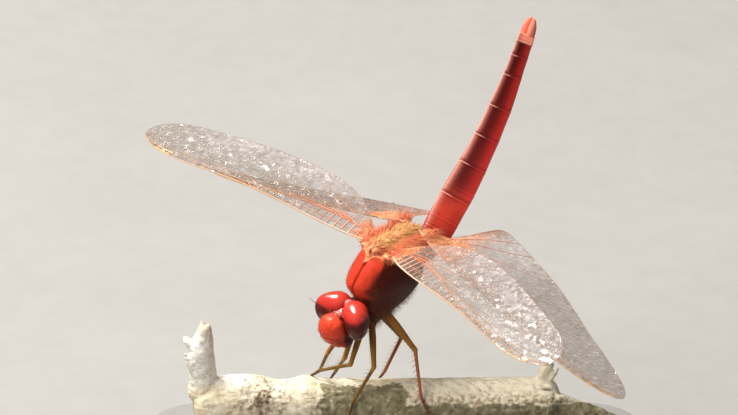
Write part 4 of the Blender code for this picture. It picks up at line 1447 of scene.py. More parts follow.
@dataclass
class Wing(Sculpture):
    """One wing: a net of fine veins, strong long veins and clear skin.

    Attributes:
        root: ahead, left and up of its root.
        sweep, rise, twist: how far it points ahead and up, and its front edge down, in degrees.
        arch: how much it bows up, as a share of its length.
        cell, rung: a cell's width and the gap between stout cross veins, likewise.
        spot_reach: where the coloured spot starts and ends, likewise.
    """

    pair: Pair
    side: Side
    root: Row
    sweep: float
    rise: float
    twist: float
    arch: float
    cell: float = 0.0175
    rung: float = 0.029
    spot_reach: Row = (0.842, 0.935)

    def __post_init__(self) -> None:
        """Picks the pair's outline and veins, and works out the axes."""
        self.fore = self.pair is Pair.FORE
        self.name = f"wing_{self.pair.value}_{self.side.word}"
        self.length, self.nodus = (34.0, 0.505) if self.fore else (33.5, 0.42)
        self.outline, self.veins = (FORE_OUTLINE, FORE_VEINS) if self.fore else (HIND_OUTLINE, HIND_VEINS)
        s, r, t = (radians(v) for v in (self.sweep, self.rise, self.twist))
        side = self.side.value
        out = Vector((sin(s) * cos(r), side * cos(s) * cos(r), sin(r)))
        fore = Vector((1, 0, 0))
        fore = (fore - out * fore.dot(out)).normalized()
        top = out.cross(fore) * side
        if top.z < 0:
            top = -top
        self.axes = (out, fore * cos(t) - top * sin(t), top * cos(t) + fore * sin(t))

    def build(self) -> None:
        """Builds the clear skin, the veins, the coloured spot and the hair."""
        net = self.network()
        self.skin(net)
        self.lattice(net)
        self.spot()
        self.ruff()

    def point(self, x: float, y: float, lift: float = 0.0) -> Vector:
        """A point of the wing.

        Args:
            x: how far out, as a share of the length.
            y: how far ahead, likewise.
            lift: how far above the skin, in mm.

        Returns:
            The point in the insect's frame.
        """
        out, fore, top = self.axes
        lead, trail = between(self.outline, x)
        chord = (lead - y) / max(lead - trail, 1e-6)
        pleat = (-0.0034 * bump(chord, 0.075, 0.035) + 0.0016 * bump(chord, 0.13, 0.04)
                 - 0.0022 * bump(chord, 0.24, 0.07)
                 + 0.0016 * sin(11 * chord) * (1 - chord) * ease(chord, 0.2, 0.4))
        pleat *= ease(x, -0.03, 0.1) * (1 - 0.6 * ease(x, 0.7, 1.0))
        bow = 4 * self.arch * max(x, 0.0) * (1 - x)
        return body(*(Vector(self.root) + self.length * (
            out * x + fore * y + top * (bow + pleat + lift / self.length))))

    def rim(self, step: float) -> list[Vector]:
        """The outline, going out along the front.

        Args:
            step: the gap between its points.

        Returns:
            The points, evenly spaced.
        """
        xs = np.concatenate((np.linspace(-0.03, 0.9, 400), np.linspace(0.9, 1.0, 200)[1:]))
        loop = [Vector((x, between(self.outline, x)[0])) for x in xs]
        loop += [Vector((x, between(self.outline, x)[1])) for x in xs[::-1]]
        out, left = [loop[0]], step
        for a, b in zip(loop, loop[1:] + loop[:1]):
            way = (b - a).length
            while way > left > 0:
                a = a + (b - a) * (left / way)
                out.append(a)
                way -= left
                left = step
            left -= way
        return out

    def above(self, vein: Vein | None, x: float) -> float:
        """The line in front of a strip at x: a vein, or the front edge."""
        past = vein is None or x > vein.route[-1][0]
        return between(self.outline, x)[0] if past else vein.ahead(x)

    def seeds(self) -> tuple[list[Vector], int]:
        """Middles of the cells, first those inside, then guards outside.

        Returns:
            The middles, and how many of them lie inside.
        """
        rng = np.random.default_rng(len(self.name) + 3 * self.side.value + 5)
        cell, block, rim = self.cell, 0.03, self.rim(self.cell)
        inner, guards, kept = [], [], []
        near: dict[tuple[int, int], list[Vector]] = {}
        for i, spot in enumerate(rim):
            way = rim[(i + 1) % len(rim)] - rim[i - 1]
            normal = Vector((way.y, -way.x)).normalized()
            guards.append(spot - normal * 0.5 * cell)
            inner.append(spot + normal * 0.5 * cell)

        def take(spot: Vector, gap: float, edge: float) -> None:
            """Keeps a spot that lies inside, and clear of all that are kept."""
            if not -0.03 + edge < spot.x < 1.0 - edge:
                return
            lead, trail = between(self.outline, spot.x)
            i, j = int(spot.x / block), int(spot.y / block)
            others = (o for m in (-1, 0, 1) for n in (-1, 0, 1) for o in near.get((i + m, j + n), ()))
            if trail + edge < spot.y < lead - edge and all((o - spot).length >= gap for o in others):
                kept.append(spot)
                near.setdefault((i, j), []).append(spot)

        for upper, lower in zip((None, *self.veins), self.veins[:3]):
            for x in np.arange(0.01, 0.97, self.rung):
                if lower.route[0][0] < x < lower.route[-1][0]:
                    take(Vector((x, 0.5 * (self.above(upper, x) + lower.ahead(x)))), 0.01, 0.003)
        for vein in self.veins[2:]:
            x = vein.route[0][0] + 0.3 * cell
            while x < vein.route[-1][0]:
                slope = (vein.ahead(x + 0.004) - vein.ahead(x - 0.004)) / 0.008
                normal = Vector((-slope, 1.0)).normalized()
                for way in (1, -1):
                    take(Vector((x, vein.ahead(x))) + normal * way * 0.46 * cell, 0.7 * cell, 0.004)
                x += cell * (0.92 + 0.16 * rng.random()) / sqrt(1 + slope * slope)
        for spot in inner:
            take(spot, 0.72 * cell, 0.003)
        row, y = 0, 0.04
        while y > -0.34:
            x = -0.03 + 0.5 * cell * (row % 2)
            while x < 1.0:
                take(Vector((x, y)) + Vector(rng.normal(0, 0.16 * cell, 2)), 0.8 * cell, 0.006)
                x += cell
            y -= 0.5 * cell
            row += 1
        return kept + guards, len(kept)

    def heart(self, face: bmesh.types.BMFace) -> tuple[tuple[float, float], Vector]:
        """Where the walls round a triangle of cells meet.

        Args:
            face: the triangle between three cells' middles.

        Returns:
            The key of its middle, and the meeting point, held near that.
        """
        a, b, c = (v.co.xy for v in face.verts)
        d = 2 * (a.x * (b.y - c.y) + b.x * (c.y - a.y) + c.x * (a.y - b.y))
        mean = heart = (a + b + c) / 3
        if abs(d) > 1e-9:
            p, q, r = a.length_squared, b.length_squared, c.length_squared
            heart = Vector(((p * (b.y - c.y) + q * (c.y - a.y) + r * (a.y - b.y)) / d,
                            (p * (c.x - b.x) + q * (a.x - c.x) + r * (b.x - a.x)) / d))
            if (heart - mean).length > 0.8 * self.cell:
                heart = mean + (heart - mean).normalized() * 0.8 * self.cell
        return (round(mean.x, 5), round(mean.y, 5)), heart

    def network(self) -> Mesh:
        """The flat net of cells, as shares of the length."""
        spots, count = self.seeds()
        places, _, triangles = geometry.delaunay_2d_cdt(spots, [], [], 0, 1e-7)[:3]
        bm = bmesh.new()
        for spot in places:
            bm.verts.new((spot.x, spot.y, 0.0))
        bm.verts.ensure_lookup_table()
        for tri in triangles:
            bm.faces.new([bm.verts[i] for i in tri])
        inside, outside = near_tree(spots[:count]), near_tree(spots[count:])
        middles = [v for v in bm.verts if inside.find(v.co)[2] < 1e-6]
        hearts = dict(self.heart(face) for face in bm.faces)
        walls = [e for e in bm.edges if not e.is_boundary]
        for vert in bmesh.ops.poke(bm, faces=bm.faces[:])["verts"]:
            key = (round(vert.co.x, 5), round(vert.co.y, 5))
            if key in hearts:
                vert.co.xy = hearts[key]
        bmesh.ops.rotate_edges(bm, edges=walls, use_ccw=False)
        bmesh.ops.dissolve_verts(bm, verts=middles)
        spots = [(face, face.calc_center_median()) for face in bm.faces]
        away = [face for face, middle in spots
                if inside.find(middle)[2] > outside.find(middle)[2] or len(face.verts) < 3]
        bmesh.ops.delete(bm, geom=away, context="FACES")
        self.drawn_to_veins(bm)
        return bm

    def drawn_to_veins(self, bm: Mesh) -> None:
        """Moves the flat net's corners on to the outline and the long veins."""
        spots = []
        for vein in self.veins:
            x = vein.route[0][0]
            while x <= vein.route[-1][0]:
                spots.append((x, vein.ahead(x)))
                x += 0.0015
        edge, lines = near_tree(self.rim(0.002)), near_tree(spots)
        for vert in bm.verts:
            near, _, gap = (edge if vert.is_boundary else lines).find(vert.co)
            if vert.is_boundary or gap < 0.0052:
                vert.co = near
        bmesh.ops.remove_doubles(bm, verts=bm.verts, dist=0.0012)
        bmesh.ops.dissolve_degenerate(bm, edges=bm.edges, dist=1e-4)

    def in_place(self, net: Mesh) -> Mesh:
        """Bends a copy of the flat net into the wing's own pleated plane.

        Args:
            net: the flat net.

        Returns:
            The copy, with its faces up.
        """
        bm = net.copy()
        for vert in bm.verts:
            vert.co = self.point(vert.co.x, vert.co.y)
        bm.normal_update()
        up = body(*self.axes[2])
        if sum((f.normal.dot(up) for f in bm.faces), 0.0) < 0:
            bmesh.ops.reverse_faces(bm, faces=bm.faces)
            bm.normal_update()
        return bm

    def skin(self, net: Mesh) -> None:
        """The clear skin, each cell slightly domed, amber by the root, with a painted silvery sheen by the
        trailing edge near the root.
        """
        bm = self.in_place(net)
        rng = np.random.default_rng(23)
        layer = bm.verts.layers.float_color.new("tint")
        domes = bmesh.ops.poke(bm, faces=bm.faces[:])["verts"]
        for vert in domes:
            vert.co += vert.normal * rng.normal(0.0, 0.09)
        warm, sheen_end = (0.09, 1.0) if self.fore else (0.17, 0.4)
        start, along, fore = (body(*p) for p in (self.root, *self.axes[:2]))
        for vert in bm.verts:
            place = (vert.co - start) / self.length
            x = place.dot(along)
            lead, trail = between(self.outline, x)
            chord = (lead - place.dot(fore)) / (lead - trail)
            amber = 1 - ease(x, 0.3 * warm, warm)
            # Painted sheen: a silvery strip along the trailing edge near the root.
            sheen = ease(chord, 0.35, 0.95) * ease(x, 0.05, 0.14) * (1 - ease(x, 0.6 * sheen_end, sheen_end))
            tone = coated(CLEAR_SKIN, (AMBER_SKIN, amber), (SHEEN_SKIN, sheen * rng.uniform(0.0, 0.7)))
            vert[layer] = (*tone, 0.46 + 0.18 * ease(x, 0.16, 0.36) + 0.3 * amber)
        for vert in domes:
            *tone, solid = vert[layer]
            shade = rng.uniform(0.6, 1.4)
            vert[layer] = (*(part * shade for part in tone), min(0.9, solid * rng.uniform(0.7, 1.5)))
        self.keep(finished(f"{self.name}_skin", bm, WING_SKIN), "wing_clear", self.name)

    def tone(self, x: float, red: float) -> Colour:
        """A vein's colour at x: red by the root and tan further out."""
        warm, cool = blend(RUST_VEIN, RED_VEIN, red), blend(BROWN_VEIN, TAN_VEIN, red)
        return blend(warm, cool, ease(x, 0.05, 0.55))

    def lattice(self, net: Mesh) -> None:
        """The net of fine veins with the long veins along it."""
        bm = self.in_place(net)
        net.free()
        bmesh.ops.wireframe(bm, faces=bm.faces[:], thickness=0.036, use_replace=True, use_boundary=True)
        start, along = body(*self.root), body(*self.axes[0])
        pale = PALE_EDGE if self.fore else TAN_EDGE
        tinted(bm, lambda place, _: self.tone((place - start).dot(along) / self.length, 0.35))
        for vein, low, high in self.long_veins():
            count = max(6, int((high - low) * 55))
            xs = [low + (high - low) * k / count for k in range(count + 1)]
            knots = [self.point(x, vein.ahead(x)) for x in xs]
            radii = [0.5 * vein.girth * (1 - 0.62 * (x - low) / max(high - low, 0.4)) for x in xs]

            def paint(place: Vector, _: Vector) -> Colour:
                """The vein's colour, which is pale on the front edge."""
                x = (place - start).dot(along) / self.length
                if vein.girth > 0.22:
                    return blend(pale, EDGE_TIP, ease(x, 0.1, 0.5))
                return self.tone(x, vein.red)

            add_into(bm, tinted(limb(knots, radii, 8, rounds=2), paint))
        add_into(bm, *self.rungs())
        joint = ball(self.point(self.nodus, self.veins[0].ahead(self.nodus)), (0.15, 0.15, 0.15), 12, 8)
        add_into(bm, tinted(joint, NODUS))
        self.keep(finished(f"{self.name}_veins", bm, VEIN_SHELL), "wing_clear")

    def rungs(self) -> Iterable[Mesh]:
        """The stout cross veins behind the front edge, pale by the root.

        Yields:
            Each cross vein.
        """
        rng = np.random.default_rng(31)
        for x in np.arange(0.01 + 0.5 * self.rung, 0.83, self.rung):
            top, low = between(self.outline, x)[0] - 0.001, self.veins[1].ahead(x)
            middle = self.above(self.veins[0], x) if x < self.nodus else 0.5 * (top + low)
            radius = 0.032 + rng.uniform(0.05, 0.1) * (1 - ease(x, 0.05, 0.28))
            tube = limb([self.point(x, y) for y in (top, middle, low)], [radius] * 3, 6, rounds=1)
            yield tinted(tube, blend(PALE_RUNG, self.tone(x, 0.6), ease(x, 0.08, 0.32)))

    def long_veins(self) -> Iterable[tuple[Vein, float, float]]:
        """Every long vein with its reach, the front edge and hind rim too.

        Yields:
            The vein, and where it starts and ends.
        """
        for vein in self.veins:
            yield vein, vein.route[0][0], vein.route[-1][0]
        rows = [row for row in self.outline if row[0] <= 0.991]
        yield Vein(tuple((r[0], r[1] - 0.001) for r in rows), 0.24, 0.8), -0.03, 0.99
        yield Vein(tuple((r[0], r[2] + 0.0008) for r in rows), 0.06, 0.2), -0.03, 0.99

    def ruff(self) -> None:
        """The salmon and golden hair that lies over the wing's base."""
        rng = np.random.default_rng(41)
        out, fore, top = (body(*axis) for axis in self.axes)
        reach, count = (0.07, 640) if self.fore else (0.15, 1300)
        coat = []
        for _ in range(count):
            x = reach * rng.random() ** 1.5 - 0.015
            lead, trail = between(self.outline, x)
            y = lead + 0.004 + (max(trail, -0.13) - lead) * rng.random()
            lean = (out + fore * rng.uniform(-0.5, 0.9) + top * rng.uniform(0.1, 0.5)
                    + Vector(rng.normal(0, 0.22, 3)))
            tone = blend(GOLD_RUFF, SALMON_RUFF, rng.random())
            coat.append(Hair(self.point(x, y), lean, rng.uniform(0.5, 1.3), rng.uniform(0.035, 0.07),
                             (0.5 + 0.4 * x / reach, 0.5 + y), tone))
        self.keep(combed(f"{self.name}_ruff", coat), "wing_clear")

    def spot(self) -> None:
        """The coloured spot near the tip, a thick cell with dark ends."""
        low, high = self.spot_reach
        radial = self.veins[1]

        def place(u: float, v: float) -> Vector:
            """The spot's face, u along it and v from its front edge."""
            x = low + (high - low) * u + 0.006 * (0.5 - v)
            lead = between(self.outline, x)[0] - 0.002
            return self.point(x, lead + (radial.ahead(x) - lead) * v, 0.02)

        def colour(spot: Vector, _: Vector) -> Colour:
            """Tan, with umber ends."""
            t = (spot - a).dot(b - a) / (b - a).length_squared
            return blend(WING_SPOT, UMBER, 0.6 * max(bump(t, 0.0, 0.06), bump(t, 1.0, 0.06)))

        bm = wrapped(place, 40, 8, closed=False)
        bmesh.ops.solidify(bm, geom=bm.faces[:], thickness=0.09)
        bmesh.ops.recalc_face_normals(bm, faces=bm.faces)
        a, b = (self.point(x, radial.ahead(x)) for x in (low, high))
        self.keep(finished(f"{self.name}_spot", tinted(bm, colour), VEIN_SHELL, angle=40), "wing_clear")


# ---- legs
@dataclass
class Leg(Sculpture):
    """One leg: hip, thigh, shin with its rake of spines, foot and claws.

    Attributes:
        hip: ahead, left and up.
        knee, ankle, claw: in the perch's frame.
        girth: the thigh's width.
        thigh_line: shares of the way to the knee, and of the thigh's girth.
        shin_line: shares of the way to the ankle, and radii.
        toes: start, end and radius of each joint of the foot.
    """

    name: str
    hip: Row
    knee: Row
    ankle: Row
    claw: Row
    girth: float
    thigh_line: Rows = ((0.35, 1.0), (0.55, 0.92), (0.8, 0.74), (0.93, 0.7))
    shin_line: Rows = ((0.06, 0.25), (0.15, 0.22), (0.5, 0.2), (0.85, 0.19), (0.96, 0.21))
    toes: Rows = ((0.0, 0.34, 0.17), (0.34, 0.62, 0.155), (0.62, 1.0, 0.14))

    def __post_init__(self) -> None:
        """Works out the leg's points and ways in the insect's frame."""
        to_insect = INSECT.inverted() @ PERCH
        points = [body(*self.hip), *(to_insect @ Vector(p) for p in (self.knee, self.ankle, self.claw))]
        self.points = points
        self.ways = [(b - a).normalized() for a, b in zip(points, points[1:])]
        self.bend = self.ways[0].cross(self.ways[1]).normalized()

    def build(self) -> None:
        """Builds the leg's skin and its spines."""
        bm = bmesh.new()
        add_into(bm, *self.bones(), *self.foot())
        piece = finished(f"insect_leg_{self.name}", tinted(bm, self.colour), LEG_SHELL)
        self.keep(piece, "leg_brown", *(f"{part}_{self.name}" for part in ("femur", "tibia", "tarsus")))
        self.spines()

    def bones(self) -> list[Mesh]:
        """The hip's ring, the thigh and the shin.

        Returns:
            Their meshes.
        """
        hip, knee, ankle, _ = self.points
        thigh, shin, _ = self.ways
        r = 0.5 * self.girth
        return [
            limb([hip - thigh * 0.1, hip + thigh * 0.35], [r * 1.05, r * 0.95], 16),
            limb([hip + thigh * 0.55, *(hip.lerp(knee, t) for t, _ in self.thigh_line),
                  knee - thigh * 0.05], [r * 0.86, *(r * w for _, w in self.thigh_line), r * 0.72], 16),
            limb([knee + shin * 0.02, *(knee.lerp(ankle, t) for t, _ in self.shin_line), ankle],
                 [0.29, *(w for _, w in self.shin_line), 0.19], 14)]

    def foot(self) -> Iterable[Mesh]:
        """The foot's joints and its two claws.

        Yields:
            Their meshes.
        """
        ankle, claw = self.points[2:]
        foot, bend = self.ways[2], self.bend
        length = (claw - ankle).length
        for a, b, size in self.toes:
            start, end = (ankle + foot * length * t for t in (a, b - 0.03))
            yield limb([start, start.lerp(end, 0.5), end], [size * 0.8, size * 0.95, size * 1.08], 12)
        down = (INSECT.inverted().to_3x3() @ Vector((0, 0, -1))).normalized()
        for way in (1, -1):
            base = claw - foot * 0.05 + bend * 0.05 * way
            hook = foot * 0.8 + bend * 0.35 * way
            yield limb([base, base + hook * 0.22, base + hook * 0.36 + down * 0.12], [0.065, 0.05, 0.014],
                       8, rounds=2)

    def colour(self, place: Vector, normal: Vector) -> Colour:
        """The skin's colour: rusty hip, brown thigh, dark foot.

        Args:
            place: a point of the skin.
            normal: the way that the skin faces there.

        Returns:
            The colour.
        """
        hip, knee, ankle, _ = self.points
        thigh, shin, foot = self.ways
        along = (place - hip).dot(thigh) / (knee - hip).length
        return coated(
            HIP_BROWN, (THIGH_BROWN, ease(along, 0.05, 0.45)),
            (HIND_SHIN if "hind" in self.name else SHIN_BROWN, ease((place - knee).dot(shin), -0.3, 0.5)),
            (KNEE_TAN, 0.6 * ((place - knee).length < 0.42)),
            (UMBER, ease(normal.dot(self.bend), 0.3, 0.8) * 0.5 + 0.15 * rough(place, 0.7)),
            (SOOT, 0.55 * ((place - ankle).dot(foot) > 0.0)))

    def spines(self) -> None:
        """Two rakes of stiff spines down the thigh, the shin and the foot."""
        rng = np.random.default_rng(len(self.name))
        hip, knee, ankle, claw = self.points
        tone = blend(SOOT, SPINE_TAN, 0.9 if "fore" in self.name else 0.25)
        coat = []
        for start, end, size, low, high, count in (
                (hip, knee, 0.5 * self.girth * 0.85, 0.18, 0.34, 12), (knee, ankle, 0.2, 0.5, 0.8, 9),
                (ankle, claw, 0.13, 0.14, 0.2, 7)):
            way = (end - start).normalized()
            inner = self.bend.cross(way).normalized()
            if inner.dot(ankle + hip - 2 * knee) < 0:
                inner = -inner
            for k in range(count):
                t = (k + 0.7) / count
                length = low + (high - low) * sin(pi * (0.25 + 0.6 * t))
                for side in (1, -1):
                    out = (inner * 0.75 + self.bend * 0.66 * side).normalized()
                    lean = out + way * 0.55 + Vector(rng.normal(0, 0.05, 3))
                    coat.append(Hair(start.lerp(end, t) + out * size * 0.9, lean, length, 0.06,
                                     (0.5 + 0.4 * side, t), tone))
        self.keep(combed(f"insect_spines_{self.name}", coat, 0.05), "leg_brown")


# ---- perch
SCAR = Vector((-16.6, -2.6, 1.0))


@dataclass
class Perch(Sculpture):
    """The cut length of dead branch with its broken stubs and scars.

    A length of wood is x, z and radius along it, and its cut is faces round it, the length of a face and
    how ragged its end is. A splinter is three points and three radii, a knot its place and half widths, and
    a crack its angle round the branch, start, end and width.
    """

    lengths: tuple[Rows, ...] = (
        ((-24.3, -0.6, 2.5), (-22.5, -0.3, 2.85), (-20.0, 0.1, 3.2), (-17.8, 0.1, 3.3),
         (-16.0, 0.0, 3.15), (-14.0, -0.1, 2.85), (-11.5, 0.0, 2.95), (-10.6, 0.15, 3.15),
         (-9.4, 0.0, 2.95), (-6.0, 0.0, 2.85), (0.0, 0.0, 2.85), (6.0, 0.0, 2.9), (12.0, 0.0, 3.0),
         (16.5, 0.0, 3.05), (18.6, 0.0, 2.85), (19.9, -0.1, 2.2)),
        ((-22.9, 1.6, 1.7), (-23.0, 4.0, 1.62), (-23.2, 6.2, 1.55), (-23.0, 7.9, 1.25),
         (-22.8, 9.2, 0.95), (-22.7, 10.0, 0.7)),
        ((-23.6, 6.6, 0.75), (-24.6, 7.7, 0.55), (-25.3, 8.6, 0.28)),
        ((17.4, 2.2, 0.95), (17.9, 3.6, 0.72), (18.4, 4.7, 0.68), (18.8, 5.5, 0.62)),
        ((17.6, -0.2, 1.95), (21.5, -1.5, 1.8), (25.0, -2.9, 1.65), (28.0, -4.2, 1.5)))
    cuts: Rows = ((48, 0.4, 0.0), (32, 0.3, 1.6), (20, 0.2, 0.5), (24, 0.25, 0.9), (32, 0.3, 0.6))
    splinters: Rows = (
        (-15.8, -0.6, 2.6, -15.7, -0.7, 3.3, -15.75, -0.75, 3.75, 0.34, 0.2, 0.06),
        (19.2, -1.6, 1.2, 20.1, -1.9, 1.45, 20.9, -2.0, 1.35, 0.5, 0.34, 0.1),
        (-23.9, -0.5, 4.4, -24.7, -0.6, 5.6, -25.1, -0.6, 6.5, 0.75, 0.5, 0.2),
        (18.5, -0.4, 3.0, 19.1, -0.5, 3.9, 19.6, -0.5, 4.6, 0.42, 0.3, 0.1),
        (-23.0, 0.3, 9.0, -23.05, 0.3, 9.7, -23.1, 0.3, 10.2, 0.45, 0.4, 0.25),
        (-22.3, -0.3, 9.2, -22.3, -0.3, 9.7, -22.3, -0.3, 10.1, 0.45, 0.38, 0.24))
    knots: Rows = ((-10.6, -0.5, 2.55, 0.8, 0.9, 0.62), (-16.6, -2.1, 0.9, 2.1, 1.1, 1.5),
                   (-18.2, -1.6, 1.9, 1.3, 1.1, 1.1), (-22.9, 0.0, 1.6, 2.0, 1.9, 1.9),
                   (17.4, 0.0, 2.2, 1.4, 1.2, 0.9))
    cracks: Rows = ((0.62, 17.0, 19.6, 0.06), (1.9, -13.0, 4.0, 0.025), (0.1, 9.0, 13.0, 0.016),
                    (2.4, 2.0, 16.0, 0.03), (-0.8, -14.0, 10.0, 0.03), (-2.0, -5.0, 18.0, 0.035))
    voxel: float = 0.16

    def wood(self, line: Rows, around: int, step: float, ragged: float) -> Mesh:
        """A round length of wood.

        Args:
            line: x, z and radius along it.
            around: faces round it.
            step: the length of a face along it.
            ragged: how far splinters stand out of its far end.

        Returns:
            The closed mesh.
        """
        ways = [0.0]
        for a, b in zip(line, line[1:]):
            ways.append(ways[-1] + hypot(b[0] - a[0], b[1] - a[1]))
        table = [(w, *row) for w, row in zip(ways, line)]
        total, along = ways[-1], max(8, int(ways[-1] / step))

        def place(u: float, v: float) -> Vector:
            """The wood's skin at u round it and v along it."""
            w = total * v
            x, z, radius = between(table, w)
            x1, z1, _ = between(table, min(w + 0.05, total))
            x0, z0, _ = between(table, max(w - 0.05, 0.0))
            axis = Vector((x1 - x0, 0.0, z1 - z0)).normalized()
            rise = axis.cross(Vector((0, 1, 0)))
            out = Vector((0, 1, 0)) * cos(TURN * u) + rise * sin(TURN * u)
            if v < 1e-6 or v > 1 - 1e-6:
                return Vector((x, 0.0, z))
            edge = min(v, 1 - v) * along
            if edge < 2.5:
                radius *= 0.55 + 0.18 * edge
            spot = Vector((x, 0.0, z)) + out * radius
            if ragged and v > 0.9:
                spot += axis * ragged * max(0.0, noise.noise(out * 3.1 + axis * 7)) * (v - 0.9) * 10
            return spot

        return wrapped(place, around, along)

    def crack(self, place: Vector) -> float:
        """How much a place lies in a crack."""
        wander, turn = 0.35 * rough(Vector((place.x, 0, 0)), 2.5), atan2(-place.y, place.z)
        return max(ease(place.x, start, start + 1.5) * (1 - ease(place.x, end - 1.5, end))
                   * bump(turn, angle + 0.12 * wander, width) for angle, start, end, width in self.cracks)

    def scab(self, place: Vector) -> float:
        """How much bark and lichen crust a place carries.

        Args:
            place: a point of the wood.

        Returns:
            The share, 0 to 1.
        """
        turn = atan2(-place.y, place.z)
        wave = 0.16 * rough(Vector((place.x, 3.0, 0.0)), 1.8, 4) + 0.1 * rough(place, 0.45, 3)
        x = place.x + 1.1 * rough(Vector((7.0, place.y, place.z)), 0.8, 3)
        start = 1.22 - 0.88 * (ease(x, -9.2, -8.8) * (1 - ease(x, 1.0, 1.5)))
        front = ease(turn + wave, start, start + 0.07) * ease(x, -9.2, -8.8)
        patch = ease(rough(place + Vector((0, 3, 0)), 3.2, 4), 0.45, 0.6)
        lump = bump((place - SCAR).length, 0, 2.3) * ease(rough(place, 0.8, 3), -0.3, 0.2)
        return max(front, ease(abs(turn), 1.9, 2.3), patch * ease(-place.z, -0.5, 0.5), 0.85 * lump)

    def relief(self, place: Vector, _: Vector) -> float:
        """How far a place of the wood stands proud.

        Args:
            place: a point of the wood.

        Returns:
            The height: fibres, crust, pits and cracks.
        """
        fibre = noise.fractal(Vector((place.x * 0.45, place.y * 2.4, place.z * 2.4)), 0.8, 2.0, 4)
        crust = self.scab(place)
        knobs = noise.fractal(place * 1.5, 0.7, 2.1, 4)
        pits = max(0.0, noise.noise(place * 2.6) - 0.25)
        lump = bump((place - Vector((-16.6, -2.2, 1.4))).length, 0, 2.8)
        return (0.06 * fibre + (0.1 + 0.3 * lump) * crust * (0.5 + knobs) - (0.14 + 0.6 * lump) * pits
                * max(crust, lump) - 0.3 * self.crack(place) + 0.07 * rough(place, 1.4, 4))

    def colour(self, place: Vector, _: Vector) -> Colour:
        """The wood's colour at a place.

        Args:
            place: a point of the wood.

        Returns:
            Bleached wood, whiter on top partly as painted light and lighter to the right as painted light,
            under rust, bark, lichen, torn ends and cracks.
        """
        crust, turn = self.scab(place), atan2(-place.y, place.z)
        rust = (ease(turn, 0.75, 0.95) * ease(rough(place, 0.5, 3), -0.05, 0.25)
                * (0.15 + 0.85 * ease(place.x, -11.0, -8.0)))
        pale = coated(PALE_WOOD, (TAN_WOOD, 0.4 + 0.6 * rough(place, 2.5)),
                      # Whiter on top: partly bleached wood and partly painted light.
                      (BLEACHED_AND_LIT_TOP, ease(place.z, 2.2, 3.4) * (1 - ease(place.x, -18.5, -16.5))),
                      # Painted light: the wood grows paler towards the right-hand end.
                      (RIGHT_LIT_WOOD, 0.8 * ease(place.x, 1, 7)), (RUSTY_WOOD, 0.7 * rust))
        dark = coated(BARK_GREEN, (BARK_DARK, 0.5 + 0.9 * rough(place, 0.9)),
                      (BARK_RED, bump((place - SCAR).length, 0, 3.0)))
        pit = ease(noise.noise(place * 2.6), 0.15, 0.35) * bump(
            (place - Vector((-15.6, -2.2, 1.2))).length, 0, 3.2)
        lichen = ease(noise.noise(place * 1.9 + Vector((5, 1, 2))), 0.32, 0.45) * crust
        torn = max(ease(place.z, 8.6, 9.8) * (1 - ease(place.x, -20, -19)),
                   ease(place.z, 5.0, 5.6) * ease(place.x, 16, 17),
                   *(bump((place - Vector(end)).length, 0, 0.9)
                     for end in ((-24.6, 0, -0.6), (28.2, 0, -4.2))))
        return coated(pale, (dark, crust), (WOOD_PIT, 0.9 * pit), (LICHEN, 0.75 * lichen),
                      (TORN_WOOD, 0.6 * torn), (CRACK, 0.9 * self.crack(place)))

    def build(self) -> None:
        """Builds the branch as one skin over its five lengths."""
        parts = [self.wood(line, *cut) for line, cut in zip(self.lengths, self.cuts)]
        parts += [limb([Vector(row[k:k + 3]) for k in (0, 3, 6)], row[9:], 10) for row in self.splinters]
        parts += [ball(Vector(row[:3]), row[3:]) for row in self.knots]
        bm = fused(parts, self.voxel, 1)
        pushed(bm, self.relief)
        self.keep(finished("perch_wood", tinted(bm, self.colour), WOOD, PERCH), "bark", "perch_branch",
                  "perch_stub", "perch_spur", "perch_twig", "perch_tail")


# ---- stand
def bevelled(bm: Mesh, edges: Iterable[bmesh.types.BMEdge], offset: float, steps: int) -> None:
    """Rounds edges off, offset wide, in so many steps."""
    bmesh.ops.bevel(bm, geom=list(edges), offset=offset, segments=steps, profile=0.5, affect="EDGES",
                    material=-1)


@dataclass
class Stand(Sculpture):
    """A painted base with rounded corners, and two bright steel rods with collars."""

    size: Row = (60.0, 38.0, 4.0)
    corner: float = 7.0
    edge: float = 0.8
    rod: float = 2.4
    spacing: float = 22.0
    collar: Row = (0.7, 0.9)

    def build(self) -> None:
        """Builds the base and the rods."""
        self.base()
        for word, sign in (("a", -1), ("b", 1)):
            self.upright(word, sign)

    def base(self) -> None:
        """The painted base."""
        bm = bmesh.new()
        bmesh.ops.create_cube(bm, size=1.0)
        centre = Vector((0, 0, 0.5 * self.size[2] - BRANCH_HEIGHT))
        shape = Matrix.Translation(centre) @ Matrix.Diagonal((*self.size, 1.0))
        bmesh.ops.transform(bm, matrix=shape, verts=bm.verts)
        bevelled(bm, [e for e in bm.edges if abs(e.verts[0].co.z - e.verts[1].co.z) > 1], self.corner, 14)
        for sign, offset, steps in ((1, self.edge, 4), (-1, 0.3, 1)):
            bevelled(bm, {e for f in bm.faces if f.normal.z * sign > 0.99 for e in f.edges}, offset, steps)
        self.keep(finished("stand_plate", bm, GREY_PAINT, PERCH, 28), "stand_grey", "stand_base")

    def upright(self, word: str, sign: int) -> None:
        """One steel rod with its collar.

        Args:
            word: its letter.
            sign: which end of the base it stands at.
        """
        bm = bmesh.new()
        low, radius, (proud, high) = self.size[2] + 0.02 - BRANCH_HEIGHT, 0.5 * self.rod, self.collar
        for wide, top in ((radius, -2.2), (radius + proud, low + high)):
            made = bmesh.ops.create_cone(bm, cap_ends=True, segments=48, radius1=wide, radius2=wide,
                                         depth=top - low)["verts"]
            bmesh.ops.translate(bm, verts=made, vec=(sign * 0.5 * self.spacing, 0, 0.5 * (top + low)))
        bevelled(bm, [e for e in bm.edges if all(abs(v.co.z - low - high) < 1e-4 for v in e.verts)], 0.25, 3)
        self.keep(finished(f"stand_pin_{word}", bm, STEEL, PERCH, 30), "stand_steel", f"stand_rod_{word}")


